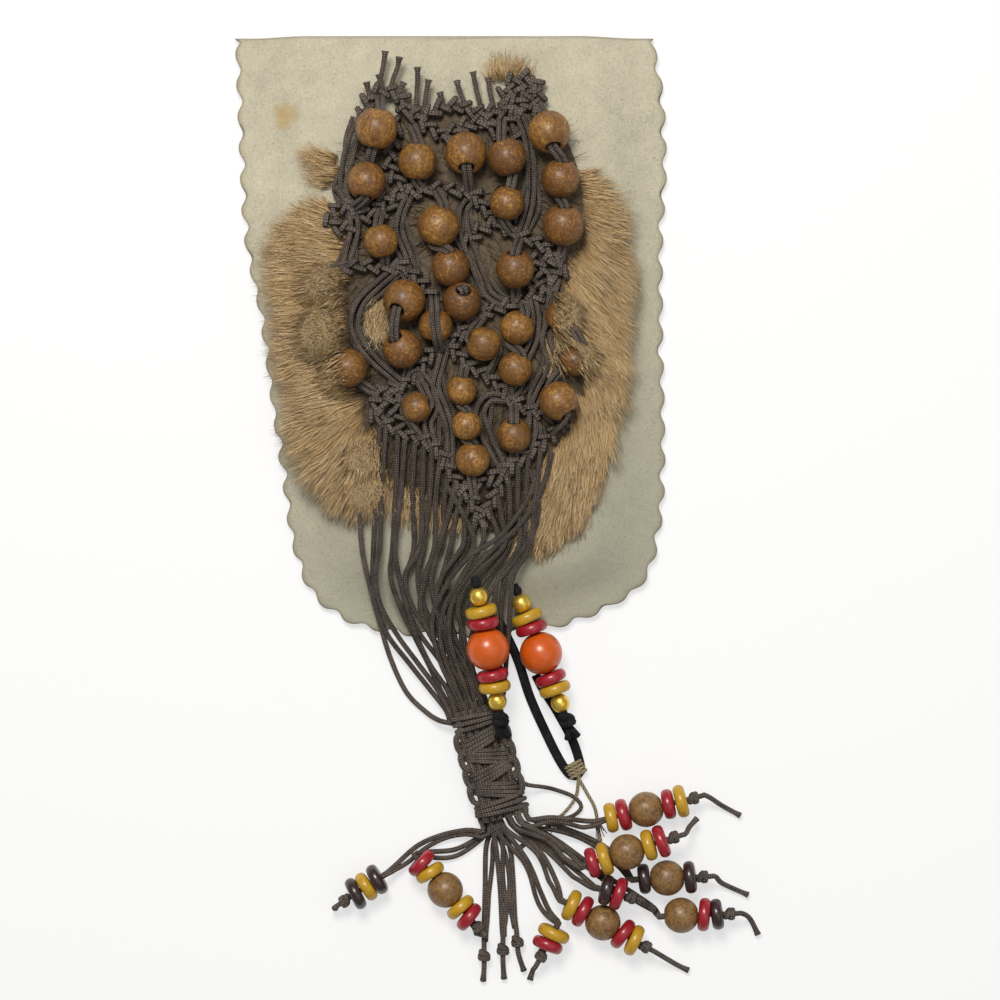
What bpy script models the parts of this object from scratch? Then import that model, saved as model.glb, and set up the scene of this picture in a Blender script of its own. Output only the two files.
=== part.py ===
# Beaded medicine bag: a flat pouch of two pinked suede panels, a fur patch on its front, and a
# knotted cord net with wooden beads over the fur. The net's cords gather into one knotted neck,
# and fan out below it into a fringe of beaded strands.
#
# The bag lies on its back. +X runs across it, +Y towards its mouth, +Z out of its front.
# The origin is on the underside of the back panel. Sizes are in millimetres, and every point
# is turned into metres where a mesh is made. Plan points are read off the reference picture.
import bpy
import bmesh
from math import cos, hypot, pi, radians, sin, sqrt
from mathutils import Vector

MM = 0.001

# Plan: one picture step in millimetres, and the picture point above the origin
PLAN_STEP = 12.0 / 42.0
PLAN_ORIGIN = (460.0, 330.0)

# Pouch
PANEL_WIDTH = 124.0
PANEL_LENGTH = 172.0
PANEL_THICKNESS = 1.2
BOND_GAP = 0.3
POCKET_RISE = 5.0
MARGIN_WIDTH = 5.0
RAMP_WIDTH = 16.0
SCALLOP_PITCH = 9.0
SCALLOP_DEPTH = 1.6

# Fur
HIDE_THICKNESS = 1.2
FUR_RISE = 4.6
FUR_TIP_THICKNESS = 0.7
LOCK_LENGTH = 1.6
FUR_POINTS = 60
# Across the fur from the flat part to the tips: share of the way, and share of the rise
FUR_PROFILE = [(0.0, 0.0), (0.3, 0.85), (0.7, 0.7), (1.0, 0.0)]

# Net
CORD_DIAMETER = 1.5
STRING_SIZE = (1.3 * CORD_DIAMETER, 0.95 * CORD_DIAMETER)
BAND_WIDTH = 3.4
BAND_HEIGHT = 2.6
KNOT_SWELL = 0.45
KNOT_PITCH = 6.0
TOUCH_GAP = 0.3
LAYER_GAP = 0.5

# Wooden beads of the net: outer diameter and bore diameter
BEAD_LARGE = 12.0
BEAD_MEDIUM = 11.0
BEAD_SMALL = 9.8
BEAD_TINY = 8.7
BORE_LARGE = 4.4
BORE_SMALL = 4.2
BEAD_LENGTH_SHARE = 0.9
BEAD_MOUTH_ANGLE = 58
BEAD_SIDES = 7

# Gathered cords and neck
GATHER_RIB_COUNT = 9
GATHER_THICKNESS = 3.2
GATHER_RIB = 0.7
GATHER_GROWTH = 0.5
GATHER_REST = 1.0
GATHER_REST_FROM = 14.0
GATHER_MARGIN_RISE = 1.6
NECK_WIDTH = 16.2
NECK_HEIGHT = 8.8
NECK_KNOT_COUNT = 7
NECK_SIDES = 12
NECK_WAIST = 0.86
NECK_SQUARENESS = 0.7
NECK_FEED_SHARE = 0.44

# Fringe
DISC_DIAMETER = 9.2
DISC_THICKNESS = 3.7
FRINGE_BEAD_DIAMETER = 10.2
FRINGE_BEAD_LENGTH = 9.5
FRINGE_KNOT_DIAMETER = 3.8
FRINGE_KNOT_LEAD = 0.4
DISC_GROOVE_SHARE = 0.3
DISC_RIM_SHARE = 0.25
STRAND_SIDES = 6
STRAND_STEP = 5.4
STRAND_COLUMN_COUNT = 6
STRAND_PITCH_X = 2.7
STRAND_PITCH_Z = 2.75
STRAND_LIFT = 0.4
STRAND_LEAD = 3.0
BEAD_LEAD = 1.5

# Dangles
LACE_DIAMETER = 2.0
DANGLE_BEAD_DIAMETER = 12.2
DANGLE_BEAD_LENGTH = 11.6
DANGLE_DISC_DIAMETER = 9.2
DANGLE_DISC_THICKNESS = 3.1
GOLD_BEAD_DIAMETER = 5.4
GOLD_BEAD_LENGTH = 5.0
DANGLE_KNOT_DIAMETER = 5.0
DANGLE_SMALL_KNOT_SHARE = 0.6
DANGLE_SIDES = 8
TWINE_DIAMETER = 1.0

# Colour, roughness and metallic value of each finish
FINISHES = {
    "suede": ((0.55, 0.52, 0.42), 0.95, 0.0),
    "fur": ((0.42, 0.25, 0.11), 0.85, 0.0),
    "cord": ((0.07, 0.055, 0.05), 0.7, 0.0),
    "wood": ((0.30, 0.13, 0.04), 0.45, 0.0),
    "red": ((0.45, 0.01, 0.03), 0.35, 0.0),
    "yellow": ((0.62, 0.36, 0.01), 0.35, 0.0),
    "orange": ((0.60, 0.09, 0.01), 0.3, 0.0),
    "gold": ((0.75, 0.48, 0.10), 0.3, 1.0),
    "lace": ((0.012, 0.012, 0.014), 0.8, 0.0),
    "twine": ((0.40, 0.33, 0.20), 0.9, 0.0),
}

# Heights of the layers, from the underside of the back panel up
MARGIN_UNDER = PANEL_THICKNESS + BOND_GAP
POCKET_ROOF = MARGIN_UNDER + POCKET_RISE
PLATEAU = POCKET_ROOF + PANEL_THICKNESS
HIDE_UNDER = PLATEAU + TOUCH_GAP
HIDE_TOP = HIDE_UNDER + HIDE_THICKNESS
NET_MIDDLE = HIDE_TOP + TOUCH_GAP + KNOT_SWELL + BAND_HEIGHT / 2

# Pinked edge of the panels in millimetres, from the mouth's left corner round the bottom to
# its right corner, drawn for these overall sizes
EDGE_WIDTH = 124.0
EDGE_LENGTH = 172.0
PANEL_EDGE = [
    (-64.8, 84.0), (-63.8, 55.0), (-62.3, 27.0), (-58.0, 5.0), (-54.6, -20.0), (-51.5, -42.0),
    (-48.4, -62.0), (-43.0, -75.5), (-32.0, -84.0), (-13.0, -88.0), (9.0, -88.0), (28.0, -85.5),
    (43.5, -79.5), (53.6, -71.5), (57.8, -57.0), (59.0, -38.0), (58.4, 0.0), (58.4, 26.0),
    (59.4, 46.0), (58.6, 68.0), (55.6, 84.0),
]
PANEL_SPINE_X = -2.0
PANEL_SPINE_FOOT = -40.0

# Fur outline in plan, clockwise from the top: tip, edge of the flat part under the net, and
# how much of the full rise the hair reaches there
FUR_ROWS = [
    ((500, 54), (500, 74), 0.15), ((546, 74), (548, 80), 0.0), ((584, 140), (580, 134), 0.0),
    ((614, 186), (592, 190), 0.8), ((648, 230), (594, 228), 1.0), ((656, 300), (594, 290), 1.0),
    ((654, 362), (598, 352), 1.0), ((644, 428), (590, 412), 1.0), ((620, 496), (574, 460), 1.0),
    ((576, 558), (558, 530), 0.5), ((526, 574), (514, 562), 0.0), ((468, 566), (462, 556), 0.0),
    ((404, 548), (404, 540), 0.0), ((350, 536), (350, 510), 0.2), ((302, 504), (346, 458), 0.9),
    ((272, 440), (336, 410), 1.0), ((266, 380), (312, 386), 1.0), ((262, 322), (294, 342), 1.0),
    ((252, 250), (298, 266), 1.0), ((284, 208), (320, 216), 0.9), ((326, 178), (332, 184), 0.5),
    ((340, 140), (344, 144), 0.0), ((350, 100), (354, 104), 0.0), ((398, 84), (398, 88), 0.0),
    ((456, 76), (454, 80), 0.1),
]

# Bands of the net in plan: rows of knots, each over a cord that runs along the row
NET_BANDS = [
    [(364, 116), (371, 98), (388, 92), (402, 100), (412, 114), (428, 128), (448, 138)],
    [(402, 112), (424, 116), (442, 108), (462, 108), (482, 114), (506, 108), (522, 98), (534, 86)],
    [(446, 136), (466, 126), (486, 122), (504, 120), (518, 110)],
    [(506, 108), (504, 94), (512, 82), (530, 80), (538, 92), (536, 108), (520, 112)],
    [(512, 92), (536, 96)],
    [(484, 122), (496, 134), (516, 140)],
    [(398, 124), (393, 146), (391, 168), (402, 186), (422, 194)],
    [(350, 206), (372, 204), (392, 196), (412, 194), (434, 190), (458, 192), (476, 196)],
    [(350, 206), (336, 210), (330, 220), (340, 230), (352, 228)],
    [(350, 206), (366, 218), (384, 212), (400, 196)],
    [(474, 196), (484, 208), (498, 222), (512, 234), (528, 240), (546, 248), (560, 262)],
    [(468, 242), (480, 230), (498, 224)],
    [(532, 262), (562, 262), (558, 276), (532, 274), (534, 288), (552, 286)],
    [(346, 268), (364, 266), (384, 268), (402, 266)],
    [(402, 266), (420, 282), (432, 298), (452, 312), (470, 318), (486, 312)],
    [(486, 312), (506, 306), (526, 300), (544, 294), (552, 284)],
    [(486, 312), (470, 328), (450, 342), (434, 352), (418, 372), (402, 386), (376, 392)],
    [(446, 344), (468, 364), (486, 376), (502, 388), (510, 400)],
    [(376, 392), (404, 396), (404, 404), (376, 404), (376, 416), (406, 414)],
    [(510, 400), (530, 410), (548, 416), (564, 420)],
    [(376, 416), (394, 428), (422, 440), (440, 452), (450, 470), (462, 488), (474, 502), (480, 524)],
    [(564, 420), (548, 438), (524, 456), (508, 468), (500, 486), (490, 504), (480, 524)],
    [(508, 468), (492, 476), (476, 486), (462, 488)],
]

# Lowest point of the net, and the ends of its lower edge, in plan
NET_TIP = (480, 524)
NET_EDGE_LEFT = (376, 416)
NET_EDGE_RIGHT = (564, 420)

# Cords of the net that run free between its bands, in pairs, in plan
NET_PAIRS = [
    [(516, 110), (526, 134), (530, 160), (531, 188), (528, 212), (520, 236)],
    [(364, 116), (354, 140), (347, 166), (344, 190), (350, 206)],
    [(352, 206), (355, 230), (350, 252), (346, 268)],
    [(410, 196), (402, 214), (400, 234), (408, 254), (416, 276)],
    [(476, 196), (464, 210), (464, 232), (472, 254), (480, 276), (490, 296), (508, 306)],
    [(402, 266), (380, 284), (362, 302), (355, 322), (360, 342), (374, 360), (392, 376), (404, 386)],
    [(532, 298), (536, 320), (533, 342), (524, 362), (520, 384), (510, 400)],
    [(552, 286), (554, 312), (546, 340), (552, 366), (540, 392), (532, 410)],
    [(418, 372), (430, 388), (434, 408), (428, 424), (434, 448)],
    [(446, 346), (440, 368), (436, 388), (444, 410), (450, 432), (450, 470)],
    [(510, 400), (490, 398), (480, 412), (484, 430), (492, 448), (504, 470)],
    [(532, 412), (532, 430), (528, 452)],
]

# Cut cord ends that stand out of the net's top edge, and the loop's end at its left, in plan
NET_ENDS = [
    [(376, 94), (381, 80), (384, 68), (386, 54)], [(390, 94), (394, 80), (398, 70), (400, 60)],
    [(370, 98), (367, 84)], [(384, 92), (379, 76)], [(398, 98), (404, 84)],
    [(416, 112), (417, 96), (418, 82), (418, 70)], [(424, 114), (426, 98), (429, 82)],
    [(444, 108), (440, 94)], [(466, 108), (460, 94), (457, 83)], [(482, 112), (477, 94), (473, 74)],
    [(494, 110), (490, 94), (488, 80)], [(348, 206), (342, 196), (336, 188)],
]

# Beads of the net: name, plan point, size, and whether it is a node of its own. The others are
# one with the cord that carries them.
NET_BEADS = {
    "01": ((377, 132), "large", True), "02": ((417, 164), "medium", True),
    "03": ((367, 184), "medium", True), "04": ((465, 156), "large", True),
    "05": ((506, 160), "medium", True), "06": ((548, 135), "large", True),
    "07": ((559, 181), "medium", True), "08": ((506, 206), "small", True),
    "09": ((562, 227), "large", True), "10": ((438, 228), "large", True),
    "11": ((381, 243), "small", True), "12": ((450, 269), "medium", True),
    "13": ((514, 271), "medium", True), "14": ((462, 307), "medium", False),
    "15": ((404, 302), "large", True), "16": ((436, 327), "small", False),
    "17": ((402, 350), "medium", True), "18": ((326, 335), "medium", True),
    "19": ((349, 369), "medium", True), "20": ((326, 288), "tiny", False),
    "21": ((517, 329), "small", False), "22": ((483, 345), "small", True),
    "23": ((515, 370), "small", False), "24": ((560, 317), "tiny", False),
    "25": ((574, 362), "tiny", False), "26": ((557, 402), "medium", True),
    "27": ((417, 408), "tiny", False), "28": ((461, 391), "tiny", True),
    "29": ((466, 426), "tiny", True), "30": ((472, 460), "small", True),
    "31": ((514, 436), "small", False),
}

# Strings: the beads on each pair of cords, between the plan points where it joins the net
STRINGS = [
    ((380, 96), ["01", "03"], (352, 210)), ((412, 126), ["02"], (424, 192)),
    ((464, 124), ["04"], (470, 194)), ((502, 120), ["05", "08"], (514, 236)),
    ((536, 104), ["06", "07", "09"], (560, 264)), ((436, 190), ["10", "12", "14"], (462, 334)),
    ((382, 210), ["11"], (386, 268)), ((520, 238), ["13"], (516, 304)),
    ((402, 268), ["15", "17"], (402, 388)), ((434, 298), ["16"], (440, 348)),
    ((348, 266), ["20", "18", "19"], (376, 394)), ((486, 312), ["22"], (488, 376)),
    ((522, 302), ["21", "23"], (510, 398)), ((556, 280), ["24", "25", "26"], (552, 434)),
    ((416, 374), ["27"], (424, 442)), ((466, 362), ["28", "29", "30"], (476, 504)),
    ((514, 402), ["31"], (514, 464)),
]

# Gathered cords: left and right ends of their row in plan, from the net to the neck
GATHER_ROWS = [
    ((372, 552), (524, 548)), ((380, 582), (494, 574)), ((392, 612), (474, 602)),
    ((406, 640), (462, 632)), ((424, 668), (462, 660)), ((438, 688), (474, 682)),
]
GATHER_HEM = (374, 548)

# Where in plan the cords start to hang, and over what stretch of it they come to go with the
# panels' lower edge
HANG_FROM = 556.0
HANG_SPAN = 30.0

SIDE_CORD = [(366, 452, 10.8), (361, 500, 10.8), (362, 546, 10.6), (370, 586, 9.2),
             (379, 622, 5.2), (390, 660, 1.8), (406, 694, 1.2), (426, 714, 1.4), (440, 722, 3.6)]

NECK_TOP = (475, 712)
NECK_FOOT = (503, 815)

# Fringe strands: place in the neck's foot (column, row), way to the beads, beads from the neck
# outwards with the line that they lie on, and tail. Plan points, with heights in millimetres.
STRANDS = {
    "left_far": ((0, 1), [(466, 832, 3.0), (440, 838, 1.4), (416, 849, 1.2), (394, 868, 3.2)],
                 "dyd", (382, 877), (346, 901), 5.0, [(334, 911, 1.2)]),
    "left_near": ((0, 0), [(475, 842, 1.2), (455, 852, 1.2), (434, 854, 1.8), (422, 854, 3.8)],
                  "ryfyr", (417, 859), (468, 917), 5.5, [(476, 936, 1.0)]),
    "centre_left": ((1, 0), [(486, 850, 1.2), (485, 890, 1.0), (484, 930, 1.0)],
                    "", (484, 952), (484, 964), 2.6, [(483, 984, 1.0)]),
    "centre": ((1, 1), [(496, 850, 3.0), (500, 890, 1.2), (502, 930, 1.0)],
               "", (503, 946), (503, 958), 2.6, [(504, 982, 1.0)]),
    "centre_right": ((2, 0), [(510, 850, 1.2), (513, 880, 1.0), (515, 920, 1.0)],
                     "", (517, 938), (518, 950), 2.6, [(524, 974, 1.0)]),
    "right_7": ((2, 1), [(527, 862, 3.0), (541, 895, 1.4), (550, 914, 2.6)],
                "yr", (557, 929), (545, 951), 5.2, [(533, 974, 1.2), (530, 984, 1.0)]),
    "right_6": ((3, 1), [(541, 854, 4.6), (557, 884, 5.4)],
                "yrfry", (566, 903), (650, 950), 5.8, [(678, 968, 1.6), (690, 974, 1.0)]),
    "right_5": ((4, 1), [(552, 852, 4.4), (582, 876, 6.6)],
                "dr", (600, 888), (634, 898), 8.6, [(648, 906, 6.0), (656, 912, 5.2)]),
    "right_4": ((4, 0), [(556, 842, 1.2), (600, 874, 1.0), (640, 900, 1.0), (656, 911, 3.4)],
                "frd", (665, 917), (730, 915), 5.5, [(752, 922, 1.6), (760, 938, 1.0)]),
    "right_2": ((4, 2), [(550, 838, 7.6), (572, 856, 8.4)],
                "ryfyr", (586, 864), (670, 838), 9.4, [(690, 828, 5.2), (698, 820, 3.6)]),
    "right_3": ((5, 1), [(560, 828, 3.4), (600, 846, 1.0), (622, 864, 1.4)],
                "dfd", (638, 880), (700, 878), 5.5, [(724, 886, 2.0), (750, 898, 1.0)]),
    "right_1": ((5, 2), [(552, 818, 6.8), (588, 822, 5.8)],
                "yrfry", (605, 820), (694, 799), 5.6, [(724, 808, 1.8), (742, 818, 1.0)]),
}

# Dangles: ends of the beads' line in plan, each with its height, and the beads along it
DANGLES = {
    "left": ((477, 586, 17.0), (499, 710, 11.5)),
    "right": ((518, 594, 8.7), (563, 710, 6.8)),
}
DANGLE_ORDER = ["gold", "yellow", "red", "orange", "red", "yellow", "gold"]

# Lace loop and its twine in plan, with heights
LOOP_OUT = [(498, 620, 5.4), (509, 641, 5.0), (519, 664, 2.2), (530, 698, 1.4), (545, 732, 1.4),
            (560, 762, 1.4), (571, 777, 1.4)]
LOOP_BACK = [(581, 770, 1.4), (573, 742, 1.4), (557, 712, 1.4), (543, 690, 1.4), (536, 676, 1.4)]
TWINE_TAILS = [
    [(578, 778, 2.0), (588, 796, 1.2), (596, 812, 0.8), (600, 839, 0.9)],
    [(578, 778, 2.0), (576, 800, 1.0), (564, 816, 0.8), (548, 829, 0.8)],
]
SIDE_STRAND = [(528, 786, 5.0), (544, 789, 1.8), (556, 792, 1.0), (566, 795, 1.0)]


def plan(point, height=0.0):
    """The millimetre point of a plan point. What hangs over the panels' lower edge goes down
    with it where the panels are made longer."""
    share = max(0.0, min(1.0, (point[1] - HANG_FROM) / HANG_SPAN))
    drop = share * max(0.0, PANEL_LENGTH - EDGE_LENGTH) / 2
    return Vector(((point[0] - PLAN_ORIGIN[0]) * PLAN_STEP,
                   (PLAN_ORIGIN[1] - point[1]) * PLAN_STEP - drop,
                   point[2] if len(point) > 2 else height))


def smooth(points, step, closed=False):
    """Points about a step apart on a smooth curve through the given points."""
    count = len(points)
    out = []
    for i in range(count if closed else count - 1):
        before = points[i - 1] if closed or i > 0 else points[i]
        start = points[i]
        end = points[(i + 1) % count]
        after = points[(i + 2) % count] if closed or i + 2 < count else end
        pieces = max(1, round((end - start).length / step))
        for k in range(pieces):
            t = k / pieces
            out.append(0.5 * (2 * start + (end - before) * t
                              + (2 * before - 5 * start + 4 * end - after) * t * t
                              + (3 * start - before - 3 * end + after) * t ** 3))
    if not closed:
        out.append(points[-1].copy())
    return out


def directions(path):
    """The way each point of a path faces: along it, across it and up."""
    rows = []
    for i in range(len(path)):
        ahead = path[min(i + 1, len(path) - 1)]
        behind = path[max(i - 1, 0)]
        along = (ahead - behind).normalized()
        across = along.cross(Vector((0, 0, 1)))
        across = across.normalized() if across.length > 1e-6 else Vector((1, 0, 0))
        rows.append((along, across, across.cross(along)))
    return rows


def add_sweep(mesh, rings, flat=False):
    """A closed body from rings of equal count, capped at both ends. The caps of a flat one
    are strips between the upper and the lower half of the ring."""
    loops = [[mesh.verts.new(point * MM) for point in ring] for ring in rings]
    count = len(loops[0])
    for low, high in zip(loops, loops[1:]):
        for i in range(count):
            mesh.faces.new((low[i], low[(i + 1) % count], high[(i + 1) % count], high[i]))
    for loop in (loops[0], loops[-1]):
        if not flat:
            mesh.faces.new(loop)
            continue
        for i in range(count // 2 - 1):
            mesh.faces.new((loop[i], loop[i + 1], loop[count - 2 - i], loop[count - 1 - i]))


def ring_at(centre, across, up, half_width, half_height, sides, power=1.0):
    """An oval ring; a power under 1 squares it off."""
    ring = []
    for i in range(sides):
        angle = 2 * pi * (i + 0.5) / sides
        c, s = cos(angle), sin(angle)
        ring.append(centre + across * half_width * abs(c) ** power * (1 if c > 0 else -1)
                    + up * half_height * abs(s) ** power * (1 if s > 0 else -1))
    return ring


def sweep_shape(path, sizes, sides):
    """Rings of the given half widths and half heights along a path."""
    return [ring_at(point, across, up, size[0], size[1], sides)
            for point, (along, across, up), size in zip(path, directions(path), sizes)]


def make_node(name, mesh, finish):
    """One object from one mesh, with outward faces, smooth over its round stretches."""
    bmesh.ops.recalc_face_normals(mesh, faces=mesh.faces[:])
    data = bpy.data.meshes.new(name)
    mesh.to_mesh(data)
    mesh.free()
    data.shade_smooth()
    data.set_sharp_from_angle(angle=radians(50))
    node = bpy.data.objects.new(name, data)
    bpy.context.scene.collection.objects.link(node)
    data.materials.append(bpy.data.materials[finish])
    return node


def make_finishes():
    for name, (colour, roughness, metallic) in FINISHES.items():
        finish = bpy.data.materials.new(name)
        finish.use_nodes = True
        shader = finish.node_tree.nodes["Principled BSDF"]
        shader.inputs["Base Color"].default_value = (*colour, 1.0)
        shader.inputs["Roughness"].default_value = roughness
        shader.inputs["Metallic"].default_value = metallic


def panel_curve():
    """The smooth line of the pinked edge, one point for each scallop's end."""
    stretch_x = PANEL_WIDTH / EDGE_WIDTH
    stretch_y = PANEL_LENGTH / EDGE_LENGTH
    points = [Vector((x * stretch_x, y * stretch_y, 0)) for x, y in PANEL_EDGE]
    fine = smooth(points, 1.0)
    lengths = [0.0]
    for a, b in zip(fine, fine[1:]):
        lengths.append(lengths[-1] + (b - a).length)
    count = round(lengths[-1] / SCALLOP_PITCH)
    curve = []
    at = 0
    for k in range(count * 3 + 1):
        wanted = lengths[-1] * k / (count * 3)
        while at < len(fine) - 2 and lengths[at + 1] < wanted:
            at += 1
        share = (wanted - lengths[at]) / (lengths[at + 1] - lengths[at])
        curve.append(fine[at].lerp(fine[at + 1], share))
    return curve


def inward(point, distance, mouth):
    """A point moved in from the edge towards the panel's spine."""
    spine = Vector((PANEL_SPINE_X, max(point.y, PANEL_SPINE_FOOT), 0))
    moved = point + (spine - point).normalized() * distance
    if point.y == mouth:
        moved.y = mouth
    return moved


def pinked(curve):
    """The panel's cut edge: notches at every third point, shoulders between them."""
    mouth = curve[0].y
    shoulder_depth = SCALLOP_DEPTH / 9
    return [inward(point, SCALLOP_DEPTH if i % 3 == 0 and 0 < i < len(curve) - 1
                   else shoulder_depth, mouth)
            for i, point in enumerate(curve)]


def add_panel_skin(mesh, rows):
    """Strips between open rows that start and end on the mouth, then the flat middle. The
    first row has three steps for each step of the others."""
    outer = rows[0]
    inner = rows[1]
    for k in range(len(inner) - 1):
        o = outer[3 * k:3 * k + 4]
        mesh.faces.new((o[0], o[1], inner[k]))
        mesh.faces.new((o[1], o[2], inner[k + 1], inner[k]))
        mesh.faces.new((o[2], o[3], inner[k + 1]))
    for low, high in zip(rows[1:], rows[2:]):
        for k in range(len(low) - 1):
            mesh.faces.new((low[k], low[k + 1], high[k + 1], high[k]))
    mesh.faces.new(rows[-1])


def make_panel(name, levels):
    """A pinked panel. Each level is a distance in from the edge with its underside's height."""
    curve = panel_curve()
    mouth = curve[0].y
    posts = curve[::3]
    mesh = bmesh.new()
    skins = []
    for lift in (0.0, PANEL_THICKNESS):
        rows = []
        for k, (distance, under) in enumerate(levels):
            line = pinked(curve) if k == 0 else [inward(p, distance, mouth) for p in posts]
            rows.append([mesh.verts.new((p + Vector((0, 0, under + lift))) * MM) for p in line])
        add_panel_skin(mesh, rows)
        skins.append(rows)
    low, high = skins
    rim_low = low[0] + [row[-1] for row in low[1:]] + [row[0] for row in low[:0:-1]]
    rim_high = high[0] + [row[-1] for row in high[1:]] + [row[0] for row in high[:0:-1]]
    count = len(rim_low)
    for i in range(count):
        j = (i + 1) % count
        mesh.faces.new((rim_low[i], rim_low[j], rim_high[j], rim_high[i]))
    return make_node(name, mesh, "suede")


def make_fur():
    """The pelt: thin and flat under the net, with long hair that rises round it and thins out
    to ragged locks."""
    count = FUR_POINTS
    tips = resample_closed([plan(row[0]) for row in FUR_ROWS], count)
    flats = resample_closed([plan(row[1]) for row in FUR_ROWS], count)
    rises = [FUR_ROWS[k * len(FUR_ROWS) // count][2] for k in range(count)]
    centre = plan(PLAN_ORIGIN)
    mesh = bmesh.new()
    rows = []
    for share, height in FUR_PROFILE:
        row = []
        for i in range(count):
            point = flats[i].lerp(tips[i], share)
            if share == 1.0:
                point += (tips[i] - centre).normalized() * LOCK_LENGTH * (i % 3 - 1)
            top = HIDE_TOP if share < 1.0 else HIDE_UNDER + FUR_TIP_THICKNESS
            point.z = top + height * FUR_RISE * rises[i]
            row.append(point)
        rows.append(row)
    rows.append([Vector((p.x, p.y, HIDE_UNDER)) for p in rows[-1]])
    add_sweep(mesh, rows)
    return make_node("fur_pelt", mesh, "fur")


def resample_closed(points, count):
    """A closed curve cut into as many points, an equal share of them to each span."""
    spans = len(points)
    out = []
    for k in range(count):
        place = k * spans / count
        i = int(place)
        t = place - i
        before, start = points[i - 1], points[i]
        end, after = points[(i + 1) % spans], points[(i + 2) % spans]
        out.append(0.5 * (2 * start + (end - before) * t
                          + (2 * before - 5 * start + 4 * end - after) * t * t
                          + (3 * start - before - 3 * end + after) * t ** 3))
    return out


def bead_size(size):
    """Diameter, length and bore diameter of a net bead."""
    diameter = {"large": BEAD_LARGE, "medium": BEAD_MEDIUM, "small": BEAD_SMALL,
                "tiny": BEAD_TINY}[size]
    bore = BORE_LARGE if size in ("large", "medium") else BORE_SMALL
    return diameter, diameter * BEAD_LENGTH_SHARE, bore


def settle_beads():
    """Heights of the net's beads: each rests on the hide and on the bands under it, and is
    lifted clear of the beads that were laid before it."""
    band_reach = BAND_HEIGHT / 2 + KNOT_SWELL
    band_points = []
    for band in NET_BANDS + NET_PAIRS:
        band_points += smooth([plan(point, NET_MIDDLE) for point in band], 2.0)
    centres = {}
    low_first = sorted(NET_BEADS, key=lambda name: (NET_BEADS[name][2], name))
    for name in low_first:
        point, size, own = NET_BEADS[name]
        radius = bead_size(size)[0] / 2
        centre = plan(point, HIDE_TOP + TOUCH_GAP + radius)
        for other in band_points:
            flat = hypot(centre.x - other.x, centre.y - other.y)
            reach = radius + band_reach + TOUCH_GAP
            if own and flat < reach:
                centre.z = max(centre.z, other.z + sqrt(reach ** 2 - flat ** 2))
        for placed, spot in centres.items():
            flat = hypot(centre.x - spot.x, centre.y - spot.y)
            reach = radius + bead_size(NET_BEADS[placed][1])[0] / 2 + TOUCH_GAP
            if flat < reach:
                centre.z = max(centre.z, spot.z + sqrt(reach ** 2 - flat ** 2))
        centres[name] = centre
    return centres


def string_way(string, centres):
    """The path of a string's pair of cords, and the axis of each bead on it."""
    start, names, end = string
    stops = [plan(start, NET_MIDDLE)] + [centres[name] for name in names]
    stops.append(plan(end, NET_MIDDLE))
    path = [stops[0]]
    axes = {}
    for k, name in enumerate(names, 1):
        axis = stops[k + 1] - stops[k - 1]
        if len(names) == 1:
            axis.z = 0
        axes[name] = axis.normalized()
        half = bead_size(NET_BEADS[name][1])[1] / 2 + TOUCH_GAP
        path += [stops[k] - axes[name] * half, stops[k] + axes[name] * half]
    path.append(stops[-1])
    return path, axes


def round_profile(diameter, length, mouth_angle, count):
    """Half of a round bead's outline, as distances along its axis and radii."""
    rows = []
    for k in range(count):
        angle = mouth_angle * (2 * k / (count - 1) - 1)
        rows.append((length / 2 * sin(angle) / sin(mouth_angle), diameter / 2 * cos(angle)))
    return rows


def add_bead(mesh, centre, axis, profile, bore, sides):
    """A turned bead. With a bore it is a closed ring; without one it is solid."""
    across = axis.cross(Vector((0, 0, 1))).normalized()
    up = across.cross(axis)
    rows = list(profile)
    if bore:
        rows = [(rows[0][0], bore / 2)] + rows + [(rows[-1][0], bore / 2)]
    rings = [ring_at(centre + axis * along, across, up, radius, radius, sides)
             for along, radius in rows]
    if not bore:
        add_sweep(mesh, rings)
        return
    loops = [[mesh.verts.new(point * MM) for point in ring] for ring in rings]
    for k in range(len(loops)):
        low, high = loops[k], loops[(k + 1) % len(loops)]
        for i in range(sides):
            j = (i + 1) % sides
            mesh.faces.new((low[i], low[j], high[j], high[i]))


def knotted_sizes(path, half_width, half_height):
    """Sizes along a band: a swelling for each knot, with a waist between two."""
    return [(half_width + KNOT_SWELL * (k % 2), half_height + KNOT_SWELL * (k % 2))
            for k in range(len(path))]


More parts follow.
